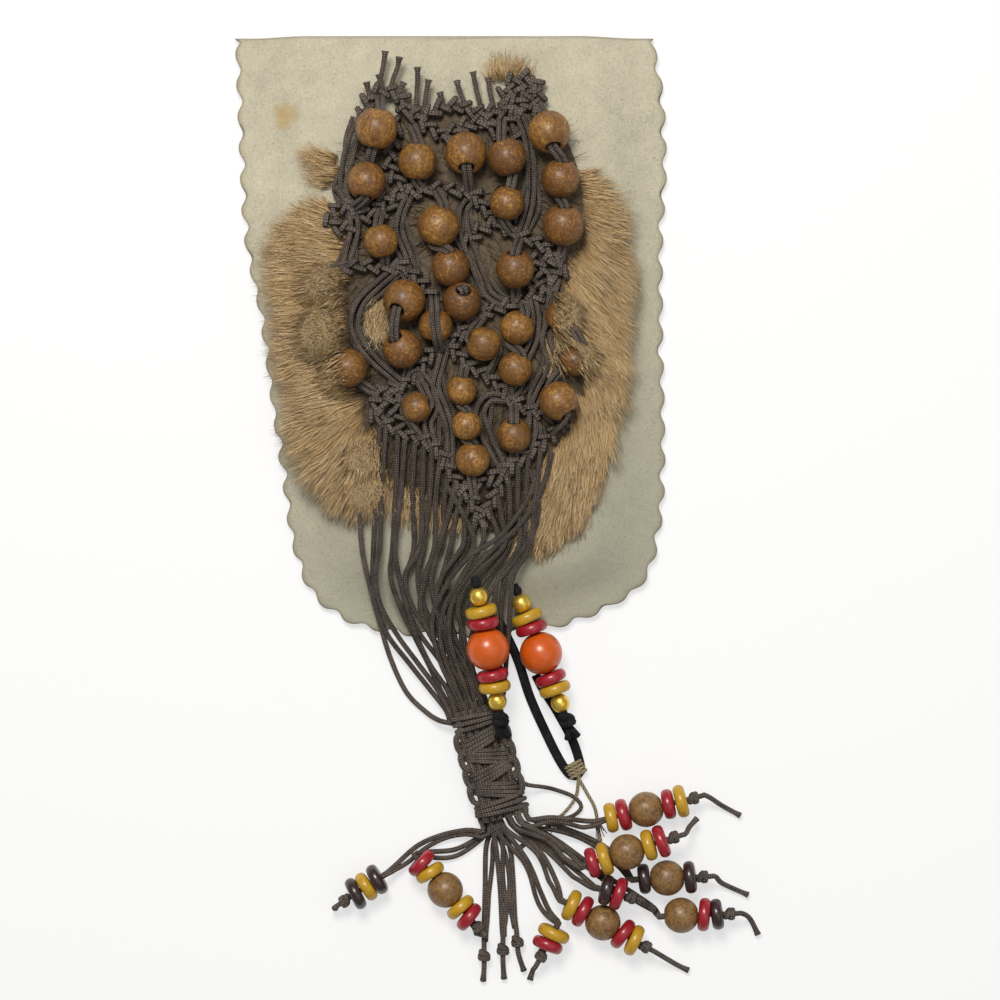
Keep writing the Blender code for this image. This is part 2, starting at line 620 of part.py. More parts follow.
def make_net():
    """The knotted net: one body of bands, free pairs, strings, cut ends and fused beads."""
    centres = settle_beads()
    axes = {}
    shapes = []
    for band in NET_BANDS:
        path = smooth([plan(point, NET_MIDDLE) for point in band], KNOT_PITCH)
        sizes = knotted_sizes(path, BAND_WIDTH / 2 - KNOT_SWELL, BAND_HEIGHT / 2 - KNOT_SWELL / 2)
        shapes.append(sweep_shape(path, sizes, 5))
    for pair in NET_PAIRS:
        path = smooth([plan(point, NET_MIDDLE) for point in pair], 2 * KNOT_PITCH)
        shapes.append(sweep_shape(path, [(CORD_DIAMETER, CORD_DIAMETER / 2)] * len(path), 4))
    for end in NET_ENDS:
        path = smooth([plan(point, NET_MIDDLE) for point in end], 2 * KNOT_PITCH)
        sizes = [(CORD_DIAMETER / 2, CORD_DIAMETER / 2)] * (len(path) - 1)
        shapes.append(sweep_shape(path, sizes + [(CORD_DIAMETER, CORD_DIAMETER)], 4))
    for string in STRINGS:
        path, on_it = string_way(string, centres)
        axes.update(on_it)
        shapes.append(sweep_shape(path, [STRING_SIZE] * len(path), 4))
    bodies = []
    for rings in shapes:
        mesh = bmesh.new()
        add_sweep(mesh, rings)
        bodies.append(mesh)
    for name, (point, size, own) in NET_BEADS.items():
        diameter, length, bore = bead_size(size)
        mesh = bmesh.new()
        profile = round_profile(diameter, length, radians(BEAD_MOUTH_ANGLE), 4)
        if own:
            add_bead(mesh, centres[name], axes[name], profile, bore, BEAD_SIDES)
            make_node("net_bead_" + name, mesh, "wood")
        else:
            add_bead(mesh, centres[name], axes[name], profile, 0, BEAD_SIDES)
            bodies.append(mesh)
    join_bodies("macrame_net", bodies, "cord")


def join_bodies(name, bodies, finish):
    """One closed body from several that run into each other."""
    helpers = [make_node(name + "_" + str(k), mesh, finish) for k, mesh in enumerate(bodies)]
    first = helpers[0]
    for other in helpers[1:]:
        union = first.modifiers.new("union", "BOOLEAN")
        union.operation = "UNION"
        union.solver = "MANIFOLD"
        union.object = other
    view = bpy.context.evaluated_depsgraph_get()
    data = bpy.data.meshes.new_from_object(first.evaluated_get(view))
    mesh = bmesh.new()
    mesh.from_mesh(data)
    bpy.data.meshes.remove(data)
    bmesh.ops.dissolve_limit(mesh, angle_limit=radians(2), verts=mesh.verts[:], edges=mesh.edges[:])
    for helper in helpers:
        bpy.data.objects.remove(helper)
    return make_node(name, mesh, finish)


def neck_frame():
    """The neck's top and foot, and its directions."""
    height = TOUCH_GAP + NECK_HEIGHT / 2
    top, foot = plan(NECK_TOP, height), plan(NECK_FOOT, height)
    along = (foot - top).normalized()
    return top, foot, along, Vector((0, 0, 1)).cross(along)


def make_neck():
    """The sinnet: square knots that swell and pinch along it."""
    top, foot, along, across = neck_frame()
    rings = []
    for k in range(2 * NECK_KNOT_COUNT + 1):
        full = 1.0 if k % 2 else NECK_WAIST
        rings.append(ring_at(top.lerp(foot, k / (2 * NECK_KNOT_COUNT)), across, Vector((0, 0, 1)),
                             NECK_WIDTH / 2 * full, NECK_HEIGHT / 2 * full, NECK_SIDES,
                             NECK_SQUARENESS))
    mesh = bmesh.new()
    add_sweep(mesh, rings)
    make_node("neck_sinnet", mesh, "cord")


def gather_under(y):
    """Underside of the gathered cords: over the hide, down the panel's slope, over its edge
    and onto what the bag lies on."""
    edge = min(point.y for point in panel_curve())
    margin_top = MARGIN_UNDER + PANEL_THICKNESS + LAYER_GAP
    steps = [(edge - GATHER_REST_FROM, GATHER_REST), (edge - 1.0, margin_top),
             (edge + MARGIN_WIDTH, margin_top + GATHER_MARGIN_RISE),
             (edge + MARGIN_WIDTH + RAMP_WIDTH * 0.7, HIDE_TOP + LAYER_GAP)]
    if y <= steps[0][0]:
        return steps[0][1]
    for (y0, z0), (y1, z1) in zip(steps, steps[1:]):
        if y <= y1:
            return z0 + (z1 - z0) * (y - y0) / (y1 - y0)
    return steps[-1][1]


def make_gathered_cords():
    """The cords between net and neck: a ribbed sheet, one rib for each cord, that narrows and
    sinks from the net's lower edge to the neck's top."""
    top, foot, along, across = neck_frame()
    end = top - along * TOUCH_GAP
    reach = across * NECK_WIDTH * NECK_FEED_SHARE
    lines = [(plan(left), plan(right)) for left, right in GATHER_ROWS] + [(end - reach, end + reach)]
    hem_left, hem_right = plan((GATHER_HEM[0], 0)).x, plan((GATHER_HEM[1], 0)).x
    steps = 2 * GATHER_RIB_COUNT
    rows = []
    for share in (i / steps for i in range(steps + 1)):
        first = lines[0][0].lerp(lines[0][1], share)
        x = hem_left + (hem_right - hem_left) * share
        hem = Vector((x, net_hem(x), 0))
        rows.append([hem, hem.lerp(first, 0.5)] + [a.lerp(b, share) for a, b in lines])
    mesh = bmesh.new()
    rings = []
    count = len(rows[0])
    for k in range(count):
        thick = GATHER_THICKNESS * (1.0 + GATHER_GROWTH * k / count) - GATHER_RIB
        lower = [Vector((row[k].x, row[k].y, gather_under(row[k].y))) for row in rows]
        upper = [p + Vector((0, 0, thick + GATHER_RIB * (i % 2))) for i, p in enumerate(lower)]
        rings.append(upper + lower[::-1])
    add_sweep(mesh, rings, flat=True)
    make_node("gathered_cords", mesh, "cord")


def net_hem(x):
    """Lowest y that the net's lower edge leaves free at a place across it."""
    tip, left, right = plan(NET_TIP), plan(NET_EDGE_LEFT), plan(NET_EDGE_RIGHT)
    if x < tip.x:
        share = max(0.0, min(1.0, (x - left.x) / (tip.x - left.x)))
        line = left.lerp(tip, share)
    else:
        share = max(0.0, min(1.0, (x - right.x) / (tip.x - right.x)))
        line = right.lerp(tip, share)
    return line.y - BAND_WIDTH - KNOT_SWELL - LAYER_GAP


def stack_profile(beads):
    """Outline of a row of touching beads, as distances along it and radii."""
    groove = DISC_DIAMETER * DISC_GROOVE_SHARE
    rows = [(0.0, CORD_DIAMETER / 2)]
    place = 0.0
    for kind in beads:
        if kind == "f":
            rows += [(place + FRINGE_BEAD_LENGTH / 2 + along, radius) for along, radius in
                     round_profile(FRINGE_BEAD_DIAMETER, FRINGE_BEAD_LENGTH, radians(60), 4)]
            place += FRINGE_BEAD_LENGTH
        else:
            rim = DISC_DIAMETER / 2
            rows += [(place, groove), (place + DISC_THICKNESS * DISC_RIM_SHARE, rim),
                     (place + DISC_THICKNESS * (1 - DISC_RIM_SHARE), rim)]
            place += DISC_THICKNESS
    if beads:
        rows.append((place, groove))
    knot = FRINGE_KNOT_DIAMETER / 2
    rows += [(place + FRINGE_KNOT_LEAD, CORD_DIAMETER), (place + knot, knot),
             (place + 2 * knot, CORD_DIAMETER / 2)]
    return rows


def strand_path(spec):
    """Path and radii of one strand: cord, beads with their knot, and tail."""
    (column, row), way, beads, first, last, height, tail = spec
    top, foot, along, across = neck_frame()
    low = CORD_DIAMETER / 2 + TOUCH_GAP + STRAND_LIFT
    root = foot + along * TOUCH_GAP + across * STRAND_PITCH_X * (column - (STRAND_COLUMN_COUNT - 1) / 2)
    root.z = low + STRAND_PITCH_Z * row
    start = plan(first, height)
    heading = (plan(last, height) - start).normalized()
    lead = [root, root + along * STRAND_LEAD] + [plan(point) for point in way]
    lead += [start - heading * BEAD_LEAD, start]
    path = smooth(lead, STRAND_STEP)
    sizes = [CORD_DIAMETER / 2] * len(path)
    rows = stack_profile(beads)
    path += [start + heading * (distance + 0.01) for distance, radius in rows]
    sizes += [radius for distance, radius in rows]
    end = path[-1]
    more = smooth([end, end + heading * BEAD_LEAD] + [plan(point) for point in tail], STRAND_STEP)[1:]
    path += more
    sizes += [CORD_DIAMETER / 2] * len(more)
    return path, sizes


def make_strand(name, spec):
    path, sizes = strand_path(spec)
    facing = []
    rows = directions(path)
    heading = None
    for i, (along, across, up) in enumerate(rows):
        if sizes[i] > CORD_DIAMETER / 2 + 0.01:
            heading = heading or (path[i + 1] - path[i]).normalized()
            side = heading.cross(Vector((0, 0, 1))).normalized()
            facing.append((side, side.cross(heading)))
        else:
            facing.append((across, up))
    mesh = bmesh.new()
    add_sweep(mesh, [ring_at(point, across, up, size, size, STRAND_SIDES)
                     for point, size, (across, up) in zip(path, sizes, facing)])
    make_node("fringe_" + name, mesh, "cord")


def make_tube(name, points, diameter, finish):
    """A plain cord as a round tube along a smooth curve."""
    curve = bpy.data.curves.new(name, "CURVE")
    curve.dimensions = "3D"
    curve.bevel_depth = diameter / 2 * MM
    curve.bevel_resolution = 2
    curve.use_fill_caps = True
    path = smooth(points, 3 * diameter)
    spline = curve.splines.new("POLY")
    spline.points.add(len(path) - 1)
    for place, point in zip(spline.points, path):
        place.co = (*(point * MM), 1.0)
    node = bpy.data.objects.new(name, curve)
    bpy.context.scene.collection.objects.link(node)
    curve.materials.append(bpy.data.materials[finish])


def dangle_sizes(kind):
    """Length, and outline as distances from the middle and radii, of a dangle's bead."""
    if kind == "orange":
        return DANGLE_BEAD_LENGTH, round_profile(DANGLE_BEAD_DIAMETER, DANGLE_BEAD_LENGTH,
                                                 radians(66), 6)
    if kind == "gold":
        return GOLD_BEAD_LENGTH, round_profile(GOLD_BEAD_DIAMETER, GOLD_BEAD_LENGTH,
                                               radians(52), 4)
    half = DANGLE_DISC_THICKNESS / 2
    rim = DANGLE_DISC_DIAMETER / 2
    return DANGLE_DISC_THICKNESS, [(-half, rim * 0.78), (-half * 0.45, rim), (half * 0.45, rim),
                                   (half, rim * 0.78)]


def make_dangle(side, ends):
    """One dangle: beads and discs on a lace, between a small knot and a large one."""
    start, end = plan(ends[0]), plan(ends[1])
    axis = (end - start).normalized()
    bore = LACE_DIAMETER + 2 * TOUCH_GAP
    place = TOUCH_GAP
    for number, kind in enumerate(DANGLE_ORDER, 1):
        length, profile = dangle_sizes(kind)
        mesh = bmesh.new()
        add_bead(mesh, start + axis * (place + length / 2), axis, profile, bore, DANGLE_SIDES)
        make_node("dangle_" + side + "_" + str(number) + "_" + kind, mesh, kind)
        place += length + TOUCH_GAP
    lace, knot = LACE_DIAMETER / 2, DANGLE_KNOT_DIAMETER / 2
    small = knot * DANGLE_SMALL_KNOT_SHARE
    rows = [(-3.2, lace * 0.6), (-2.2, small), (-0.8, small), (0.0, lace), (place, lace),
            (place + 0.8, knot * 0.8), (place + 2.4, knot), (place + 4.2, knot * 0.8),
            (place + 2 * knot, lace)]
    path = [start + axis * along for along, radius in rows]
    mesh = bmesh.new()
    add_sweep(mesh, sweep_shape(path, [(radius, radius) for along, radius in rows], STRAND_SIDES))
    make_node("dangle_lace_" + side, mesh, "lace")


def make_loop():
    """The black lace loop below the dangles, with the twine that ties it."""
    points = [plan(point) for point in LOOP_OUT + LOOP_BACK]
    make_tube("lace_loop", points, LACE_DIAMETER, "lace")
    bodies = []
    for tail in TWINE_TAILS:
        path = smooth([plan(point) for point in tail], 3.0)
        mesh = bmesh.new()
        add_sweep(mesh, sweep_shape(path, [(TWINE_DIAMETER / 2, TWINE_DIAMETER / 2)] * len(path), 6))
        bodies.append(mesh)
    join_bodies("loop_twine", bodies, "twine")


for old in list(bpy.data.objects):
    bpy.data.objects.remove(old)
make_finishes()
make_panel("back_panel", [(0.0, 0.0), (MARGIN_WIDTH, 0.0)])
make_panel("front_panel", [
    (0.0, MARGIN_UNDER), (MARGIN_WIDTH, MARGIN_UNDER), (MARGIN_WIDTH + RAMP_WIDTH, POCKET_ROOF)])
make_fur()
make_net()
make_gathered_cords()
make_neck()
for strand, layout in STRANDS.items():
    make_strand(strand, layout)
make_tube("side_cord", [plan(point) for point in SIDE_CORD], CORD_DIAMETER, "cord")
make_tube("side_strand", [plan(point) for point in SIDE_STRAND], CORD_DIAMETER, "cord")
for dangle, line in DANGLES.items():
    make_dangle(dangle, line)
make_loop()
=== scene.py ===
from math import cos, pi, radians, sin

import bmesh
import bpy
import numpy as np
from mathutils import Matrix, Vector


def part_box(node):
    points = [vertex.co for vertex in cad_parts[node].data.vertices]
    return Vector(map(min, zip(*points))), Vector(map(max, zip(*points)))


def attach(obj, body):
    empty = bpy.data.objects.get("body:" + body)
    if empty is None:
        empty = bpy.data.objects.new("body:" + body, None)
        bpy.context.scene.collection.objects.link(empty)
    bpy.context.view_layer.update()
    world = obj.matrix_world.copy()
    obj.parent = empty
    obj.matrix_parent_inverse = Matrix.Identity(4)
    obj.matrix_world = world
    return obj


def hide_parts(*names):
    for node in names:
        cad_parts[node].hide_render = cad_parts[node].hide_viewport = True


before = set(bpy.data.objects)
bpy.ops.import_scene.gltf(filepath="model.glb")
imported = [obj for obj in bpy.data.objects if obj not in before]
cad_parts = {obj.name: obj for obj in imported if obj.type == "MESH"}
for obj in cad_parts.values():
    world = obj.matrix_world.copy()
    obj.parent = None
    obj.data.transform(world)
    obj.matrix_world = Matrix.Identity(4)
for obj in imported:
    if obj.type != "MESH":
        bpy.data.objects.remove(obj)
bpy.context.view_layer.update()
scene = bpy.context.scene
scene.view_settings.view_transform = "Standard"

# A plan point is given in steps of the reference picture, with its height in millimetres.
planStep = 12.0 / 42.0 / 1000
planOrigin = (460, 330)
mm = 0.001


def plan(x, y, height=0.0):
    return Vector(((x - planOrigin[0]) * planStep, (planOrigin[1] - y) * planStep, height * mm))


# Camera and light
view = {"centre": (500, 500), "above": 0.9, "width": 1000 * planStep, "aimHeight": 8 * mm}
lamps = {
    "key": {"place": (-0.10, 0.34, 0.80), "size": 0.30, "power": 6.6, "colour": (1.0, 0.975, 0.93)},
    "fill": {"place": (0.40, -0.20, 0.80), "size": 0.70, "power": 1.1, "colour": (0.95, 0.97, 1.0)},
}
worldStrength = 0.26


def makeCamera():
    centre = plan(*view["centre"])
    data = bpy.data.cameras.new("plainView")
    data.sensor_width = 36
    data.lens = 36 * view["above"] / view["width"]
    camera = bpy.data.objects.new("plainView", data)
    camera.location = (centre.x, centre.y, view["aimHeight"] + view["above"])
    scene.collection.objects.link(camera)
    scene.camera = camera


def makeLamps():
    for name, lamp in lamps.items():
        data = bpy.data.lights.new(name, "AREA")
        data.size = lamp["size"]
        data.energy = lamp["power"]
        data.color = lamp["colour"]
        made = bpy.data.objects.new(name, data)
        made.location = lamp["place"]
        made.rotation_euler = (-Vector(lamp["place"])).to_track_quat("-Z", "Y").to_euler()
        scene.collection.objects.link(made)


makeCamera()
makeLamps()
print("camera and lamps stand")


# Node trees
class Value:
    # one socket of a node tree that takes part in Python sums
    def __init__(self, tree, socket):
        self.tree = tree
        self.socket = socket

    def maths(self, operation, *terms):
        made = self.tree.nodes.new("ShaderNodeMath")
        made.operation = operation
        for entry, term in zip(made.inputs, terms):
            if isinstance(term, Value):
                self.tree.links.new(term.socket, entry)
            else:
                entry.default_value = term
        return Value(self.tree, made.outputs[0])

    def __add__(self, other):
        return self.maths("ADD", self, other)

    def __radd__(self, other):
        return self.maths("ADD", other, self)

    def __sub__(self, other):
        return self.maths("SUBTRACT", self, other)

    def __rsub__(self, other):
        return self.maths("SUBTRACT", other, self)

    def __mul__(self, other):
        return self.maths("MULTIPLY", self, other)

    def __truediv__(self, other):
        return self.maths("DIVIDE", self, other)

    def __mod__(self, other):
        return self.maths("MODULO", self, other)

    def wave(self):
        return self.maths("SINE", self)

    def span(self, low, high):
        # 0 at low, 1 at high, held beyond them
        made = (self - low) / (high - low)
        made.socket.node.use_clamp = True
        return made


class Tree:
    # any node comes from node(): its type, its settings, then the values or links of its sockets
    def __init__(self, tree):
        self.tree = tree

    def node(self, kind, settings=None, values=None, output=0):
        made = self.tree.nodes.new(kind)
        for name, value in (settings or {}).items():
            setattr(made, name, value)
        for entry, value in (values or {}).items():
            if isinstance(value, Value):
                self.tree.links.new(value.socket, made.inputs[entry])
            else:
                made.inputs[entry].default_value = value
        return Value(self.tree, made.outputs[output])

    def other(self, value, output):
        return Value(self.tree, value.socket.node.outputs[output])

    def vector(self, operation, first, second, output=0):
        entry = "Scale" if operation == "SCALE" else 1
        return self.node("ShaderNodeVectorMath", {"operation": operation}, {0: first, entry: second},
                         output)


class Finish(Tree):
    def __init__(self, name, plain):
        self.material = bpy.data.materials.new(name)
        self.material.use_nodes = True
        super().__init__(self.material.node_tree)
        self.shader = self.tree.nodes["Principled BSDF"]
        for entry, value in plain.items():
            self.shader.inputs[entry].default_value = value

    def place(self):
        return self.node("ShaderNodeTexCoord", output="Object")

    def mark(self, name, output="Fac"):
        return self.node("ShaderNodeAttribute", {"attribute_name": name}, output=output)

    def laps(self):
        # round the cord, and along it in millimetres
        where = self.node("ShaderNodeUVMap", {"uv_map": "laps"})
        parts = self.node("ShaderNodeSeparateXYZ", values={0: where})
        return parts, self.other(parts, 1)

    def noise(self, vector, scale, detail=2.0, roughness=0.5):
        return self.node("ShaderNodeTexNoise", None,
                         {"Vector": vector, "Scale": scale, "Detail": detail, "Roughness": roughness})

    def mix(self, share, first, second):
        return self.node("ShaderNodeMix", {"data_type": "RGBA"},
                         {0: share, 6: colourOf(first), 7: colourOf(second)}, 2)

    def layers(self, look, ground, *steps):
        # lays colours of a look over its ground, one by one, each with its share
        colour = look[ground]
        for share, over in steps:
            colour = self.mix(share, colour, look[over])
        return colour

    def feed(self, entry, value):
        self.tree.links.new(value.socket, self.shader.inputs[entry])

    def relief(self, height, depth, strength):
        bump = self.node("ShaderNodeBump", None,
                         {"Height": height, "Distance": depth, "Strength": strength})
        self.feed("Normal", bump)


def colourOf(value):
    return (*value, 1) if isinstance(value, tuple) else value


# Finishes
# Suede colours; the grey is painted shade, laid towards the lower right
suedeLook = {
    "light": (0.66, 0.61, 0.46), "dark": (0.37, 0.345, 0.26), "shadedGrey": (0.30, 0.30, 0.235),
    "stain": (0.47, 0.33, 0.13), "stainAt": (281, 115), "stainHeight": 7.7,
    "stainRadius": 5.4 * mm, "cut": (0.23, 0.19, 0.125),
    "plain": {"Roughness": 0.95, "Specular IOR Level": 0.15},
}


def makeSuede():
    look = suedeLook
    finish = Finish("paleSuede", look["plain"])
    place = finish.place()
    clouds = finish.noise(place, 38, 4.0, 0.6)
    blots = finish.noise(place, 210, 3.0, 0.6)
    nap = finish.noise(finish.vector("MULTIPLY", place, (0.8, 1.9, 1.0)), 1300, 4.0, 0.8)
    fibres = finish.noise(finish.vector("MULTIPLY", place, (2.6, 0.7, 1.0)), 900, 3.0, 0.75)
    tone = (clouds.span(0.3, 0.7) * 0.22 + blots.span(0.3, 0.7) * 0.22 + nap.span(0.3, 0.7) * 0.4
            + fibres.span(0.3, 0.7) * 0.3)
    parts = finish.node("ShaderNodeSeparateXYZ", values={0: place})
    # painted shade: darker and greyer towards the lower right, where the light falls off
    low = (parts * 0.45 - finish.other(parts, 1) + (clouds - 0.5) * 0.06).span(-0.045, 0.11)
    stain = tuple(plan(*look["stainAt"], look["stainHeight"]))
    far = finish.vector("DISTANCE", place, stain, "Value")
    spot = 1 - (far + (blots - 0.5) * 0.004).span(look["stainRadius"] * 0.45, look["stainRadius"])
    specks = finish.noise(place, 1700, 1.0).span(0.62, 0.76)
    finish.feed("Base Color", finish.layers(
        look, "dark", (tone.span(0.1, 0.95), "light"), (low * 0.72, "shadedGrey"),
        (spot * (0.6 + nap * 0.4), "stain"), (specks * 0.5, "cut"), (finish.mark("rim") * 0.75, "cut")))
    finish.relief(nap * 0.7 + fibres * 0.6 + blots * 0.6 + clouds, 0.4 * mm, 0.75)
    return finish.material


furLook = {
    "root": (0.33, 0.205, 0.092), "middle": (0.56, 0.375, 0.170), "tip": (0.78, 0.61, 0.37),
    "dark": (0.36, 0.22, 0.095), "pale": (0.84, 0.68, 0.44),
    "plain": {"Roughness": 0.55, "Specular IOR Level": 0.25},
}


def makeFurFinish(name, look):
    finish = Finish(name, look["plain"])
    along = finish.mark("along")
    tone = finish.mark("tone")
    clumps = finish.noise(finish.place(), 160, 2.0)
    finish.feed("Base Color", finish.layers(
        look, "root", (along.span(0.0, 0.4), "middle"), (along.span(0.35, 1.0), "tip"),
        (tone.span(0.55, 1.0) * 0.5, "pale"), (tone.span(0.4, 0.0) * 0.5, "dark"),
        (clumps.span(0.5, 0.72) * 0.4, "dark")))
    return finish.material


# Hair under the net: a darker copy of the fur, painted shade of the net over it
shadedHairLook = {
    "root": (0.05, 0.036, 0.024), "middle": (0.13, 0.092, 0.056), "tip": (0.27, 0.20, 0.12),
    "dark": (0.06, 0.042, 0.026), "pale": (0.33, 0.25, 0.15), "plain": furLook["plain"],
}

# The hide under the net: its own brown, darkened with painted shade of the net over it
hideLook = {"light": (0.19, 0.145, 0.095), "dark": (0.070, 0.052, 0.036),
            "plain": {"Roughness": 0.9, "Specular IOR Level": 0.15}}


def makeHideFinish():
    finish = Finish("furHide", hideLook["plain"])
    place = finish.place()
    grain = finish.noise(place, 700, 4.0, 0.7)
    finish.feed("Base Color", finish.layers(hideLook, "dark", (grain.span(0.3, 0.75), "light")))
    finish.relief(grain, 0.5 * mm, 0.8)
    return finish.material


# A cord's colours are dark, light and dusty: the dark is painted shade in the plait's hollows, the light
# is painted highlight on its crests, and the dusty one is pale fluff with painted highlight on the
# crests. Its plait turns round it, and its step is in mm.
cordLook = {
    "open": ((0.034, 0.025, 0.020), (0.205, 0.163, 0.134), (0.34, 0.285, 0.24)),
    "shaded": ((0.022, 0.016, 0.013), (0.145, 0.112, 0.090), (0.28, 0.235, 0.195)),
    "turns": 3.0, "plait": 1.35,
    "plain": {"Roughness": 0.62, "Specular IOR Level": 0.4},
}


def makeCordFinish(name, light):
    look = cordLook
    dark, pale, dustAndSheen = look[light]
    finish = Finish(name, look["plain"])
    around, along = finish.laps()
    warp = around * (2 * pi * look["turns"])
    weft = along * (2 * pi / look["plait"])
    plait = (warp + weft).wave() * (warp - weft).wave()
    place = finish.place()
    wear = finish.noise(place, 260, 3.0, 0.6)
    fluff = finish.noise(place, 2600, 2.0, 0.7)
    # painted shade in the plait's hollows, painted highlight on its crests
    tone = plait.span(-0.9, 1.0) * 0.6 + fluff.span(0.3, 0.7) * 0.5
    colour = finish.mix(tone * (0.35 + wear.span(0.3, 0.7) * 0.8), dark, pale)
    # pale fluff on the crests, partly painted highlight
    colour = finish.mix((fluff * plait.span(-0.3, 0.9)).span(0.36, 0.6) * 0.6, colour, dustAndSheen)
    finish.feed("Base Color", colour)
    finish.feed("Roughness", 0.5 + wear * 0.25)
    finish.relief(plait * 0.7 + fluff * 0.8, 0.28 * mm, 1.0)
    return finish.material


woodLook = {
    "pale": (0.52, 0.275, 0.062), "amber": (0.37, 0.165, 0.026), "brown": (0.125, 0.050, 0.011),
    "deep": (0.032, 0.013, 0.005),
    "plain": {"Roughness": 0.4, "Coat Roughness": 0.3, "Specular IOR Level": 0.4},
}


def makeWood():
    look = woodLook
    finish = Finish("varnishedBeadWood", look["plain"])
    where = finish.mark("grain", "Vector")
    tone = finish.mark("tone")
    streak = finish.noise(finish.vector("MULTIPLY", where, (1.0, 1.0, 0.13)), 1250, 5.0, 0.65)
    rings = finish.noise(finish.vector("MULTIPLY", where, (1.0, 1.0, 0.3)), 330, 3.0, 0.6)
    pores = finish.noise(finish.vector("MULTIPLY", where, (1.0, 1.0, 0.25)), 4200, 2.0, 0.6)
    mottle = finish.noise(where, 1150, 5.0, 0.75)
    blots = finish.noise(finish.vector("MULTIPLY", where, (1.0, 1.0, 0.6)), 210, 2.0, 0.6)
    finish.feed("Base Color", finish.layers(
        look, "brown", (tone, "amber"),
        ((tone - 0.35).span(0.0, 0.7) * rings.span(0.3, 0.7), "pale"),
        (streak.span(0.46, 0.60) * 0.6, "brown"), (mottle.span(0.48, 0.55) * 0.65, "brown"),
        (mottle.span(0.46, 0.38) * 0.6, "pale"), (blots.span(0.48, 0.6) * 0.6, "brown"),
        (rings.span(0.35, 0.1) * 0.6, "deep"), (pores.span(0.52, 0.68) * 0.6, "deep"),
        # the bore's inside in the deep colour is painted shade
        (finish.mark("hollow"), "deep")))
    finish.feed("Roughness", 0.36 + mottle * 0.3)
    finish.feed("Coat Weight", 0.35 - pores.span(0.5, 0.75) * 0.3)
    finish.relief(streak * 0.5 + mottle * 0.6 - pores * 0.6, 0.2 * mm, 0.8)
    return finish.material


crackleLook = {
    "ground": (0.19, 0.092, 0.030), "dark": (0.070, 0.032, 0.014), "gilt": (0.34, 0.195, 0.062),
    "plain": {"Roughness": 0.42, "Coat Weight": 0.25, "Coat Roughness": 0.3},
}


def makeCrackle():
    look = crackleLook
    finish = Finish("crackledBeadWood", look["plain"])
    where = finish.mark("grain", "Vector")
    bent = finish.noise(where, 500, 2.0)
    cells = finish.node("ShaderNodeTexVoronoi", {"feature": "DISTANCE_TO_EDGE"},
                        {"Vector": where, "Scale": 420.0, "Randomness": 1.0})
    cracks = (cells + (bent - 0.5) * 0.06).span(0.035, 0.0) * bent.span(0.4, 0.55)
    mottle = finish.noise(where, 1300, 4.0, 0.65)
    finish.feed("Base Color", finish.layers(
        look, "ground", (mottle.span(0.35, 0.7), "gilt"), (bent.span(0.5, 0.75) * 0.6, "dark"),
        (cracks * 0.8, "dark")))
    finish.relief(mottle * 0.4 - cracks, 0.2 * mm, 0.7)
    return finish.material


# Each paint: its colour, the colour where it is worn, its roughness and its coat.
paintLook = {
    "redPaint": ((0.40, 0.008, 0.022), (0.20, 0.005, 0.011), 0.26, 0.5),
    "yellowPaint": ((0.60, 0.345, 0.014), (0.36, 0.19, 0.008), 0.28, 0.4),
    "orangePaint": ((0.66, 0.110, 0.004), (0.46, 0.060, 0.003), 0.26, 0.5),
    "darkPaint": ((0.034, 0.013, 0.012), (0.012, 0.006, 0.006), 0.25, 0.6),
}


def makeGloss(name, main, worn, roughness, coat):
    # painted wooden discs and beads: faint runs in the paint, scuffs on the proud edges
    finish = Finish(name, {"Coat Roughness": 0.16, "Specular IOR Level": 0.5})
    where = finish.mark("grain", "Vector")
    runs = finish.noise(where, 420, 3.0, 0.6)
    fine = finish.noise(where, 2400, 2.0, 0.6)
    colour = finish.mix(runs.span(0.3, 0.75) * 0.55, main, worn)
    colour = finish.mix((fine * finish.mark("proud")).span(0.42, 0.62) * 0.45, colour, worn)
    finish.feed("Base Color", colour)
    finish.feed("Roughness", roughness + fine * 0.18)
    finish.feed("Coat Weight", coat - fine * 0.2)
    finish.relief(runs * 0.8 + fine * 0.3, 0.12 * mm, 0.5)
    return finish.material


goldLook = {"low": (0.86, 0.52, 0.05), "high": (0.95, 0.70, 0.16),
            "plain": {"Metallic": 0.85, "Specular IOR Level": 0.5}}


def makeGold():
    finish = Finish("goldTone", goldLook["plain"])
    where = finish.mark("grain", "Vector")
    clouds = finish.noise(where, 900, 3.0)
    finish.feed("Base Color", finish.layers(goldLook, "low", (clouds.span(0.3, 0.7), "high")))
    finish.feed("Roughness", 0.22 + clouds * 0.2)
    finish.relief(clouds, 0.1 * mm, 0.35)
    return finish.material


laceLook = {"dark": (0.006, 0.006, 0.007), "light": (0.035, 0.034, 0.036),
            "plain": {"Roughness": 0.85, "Specular IOR Level": 0.2}}


def makeLaceFinish():
    finish = Finish("blackLace", laceLook["plain"])
    place = finish.place()
    nap = finish.noise(place, 2200, 3.0, 0.7)
    folds = finish.noise(place, 300, 2.0)
    tone = nap.span(0.3, 0.8) * folds.span(0.3, 0.7)
    finish.feed("Base Color", finish.layers(laceLook, "dark", (tone, "light")))
    finish.relief(nap + folds, 0.3 * mm, 0.8)
    return finish.material


twineLook = {"dark": (0.20, 0.155, 0.085), "light": (0.56, 0.48, 0.31), "turns": 3, "twist": 1.4,
             "plain": {"Roughness": 0.9, "Specular IOR Level": 0.15}}


def makeTwineFinish():
    look = twineLook
    finish = Finish("paleTwine", look["plain"])
    around, along = finish.laps()
    twist = (around * (2 * pi * look["turns"]) + along * (2 * pi / look["twist"])).wave()
    fibre = finish.noise(finish.place(), 3000, 3.0, 0.7)
    tone = twist.span(-1.0, 1.0) * fibre.span(0.2, 0.7)
    finish.feed("Base Color", finish.layers(look, "dark", (tone, "light")))
    finish.relief(twist * 0.6 + fibre * 0.5, 0.2 * mm, 0.9)
    return finish.material


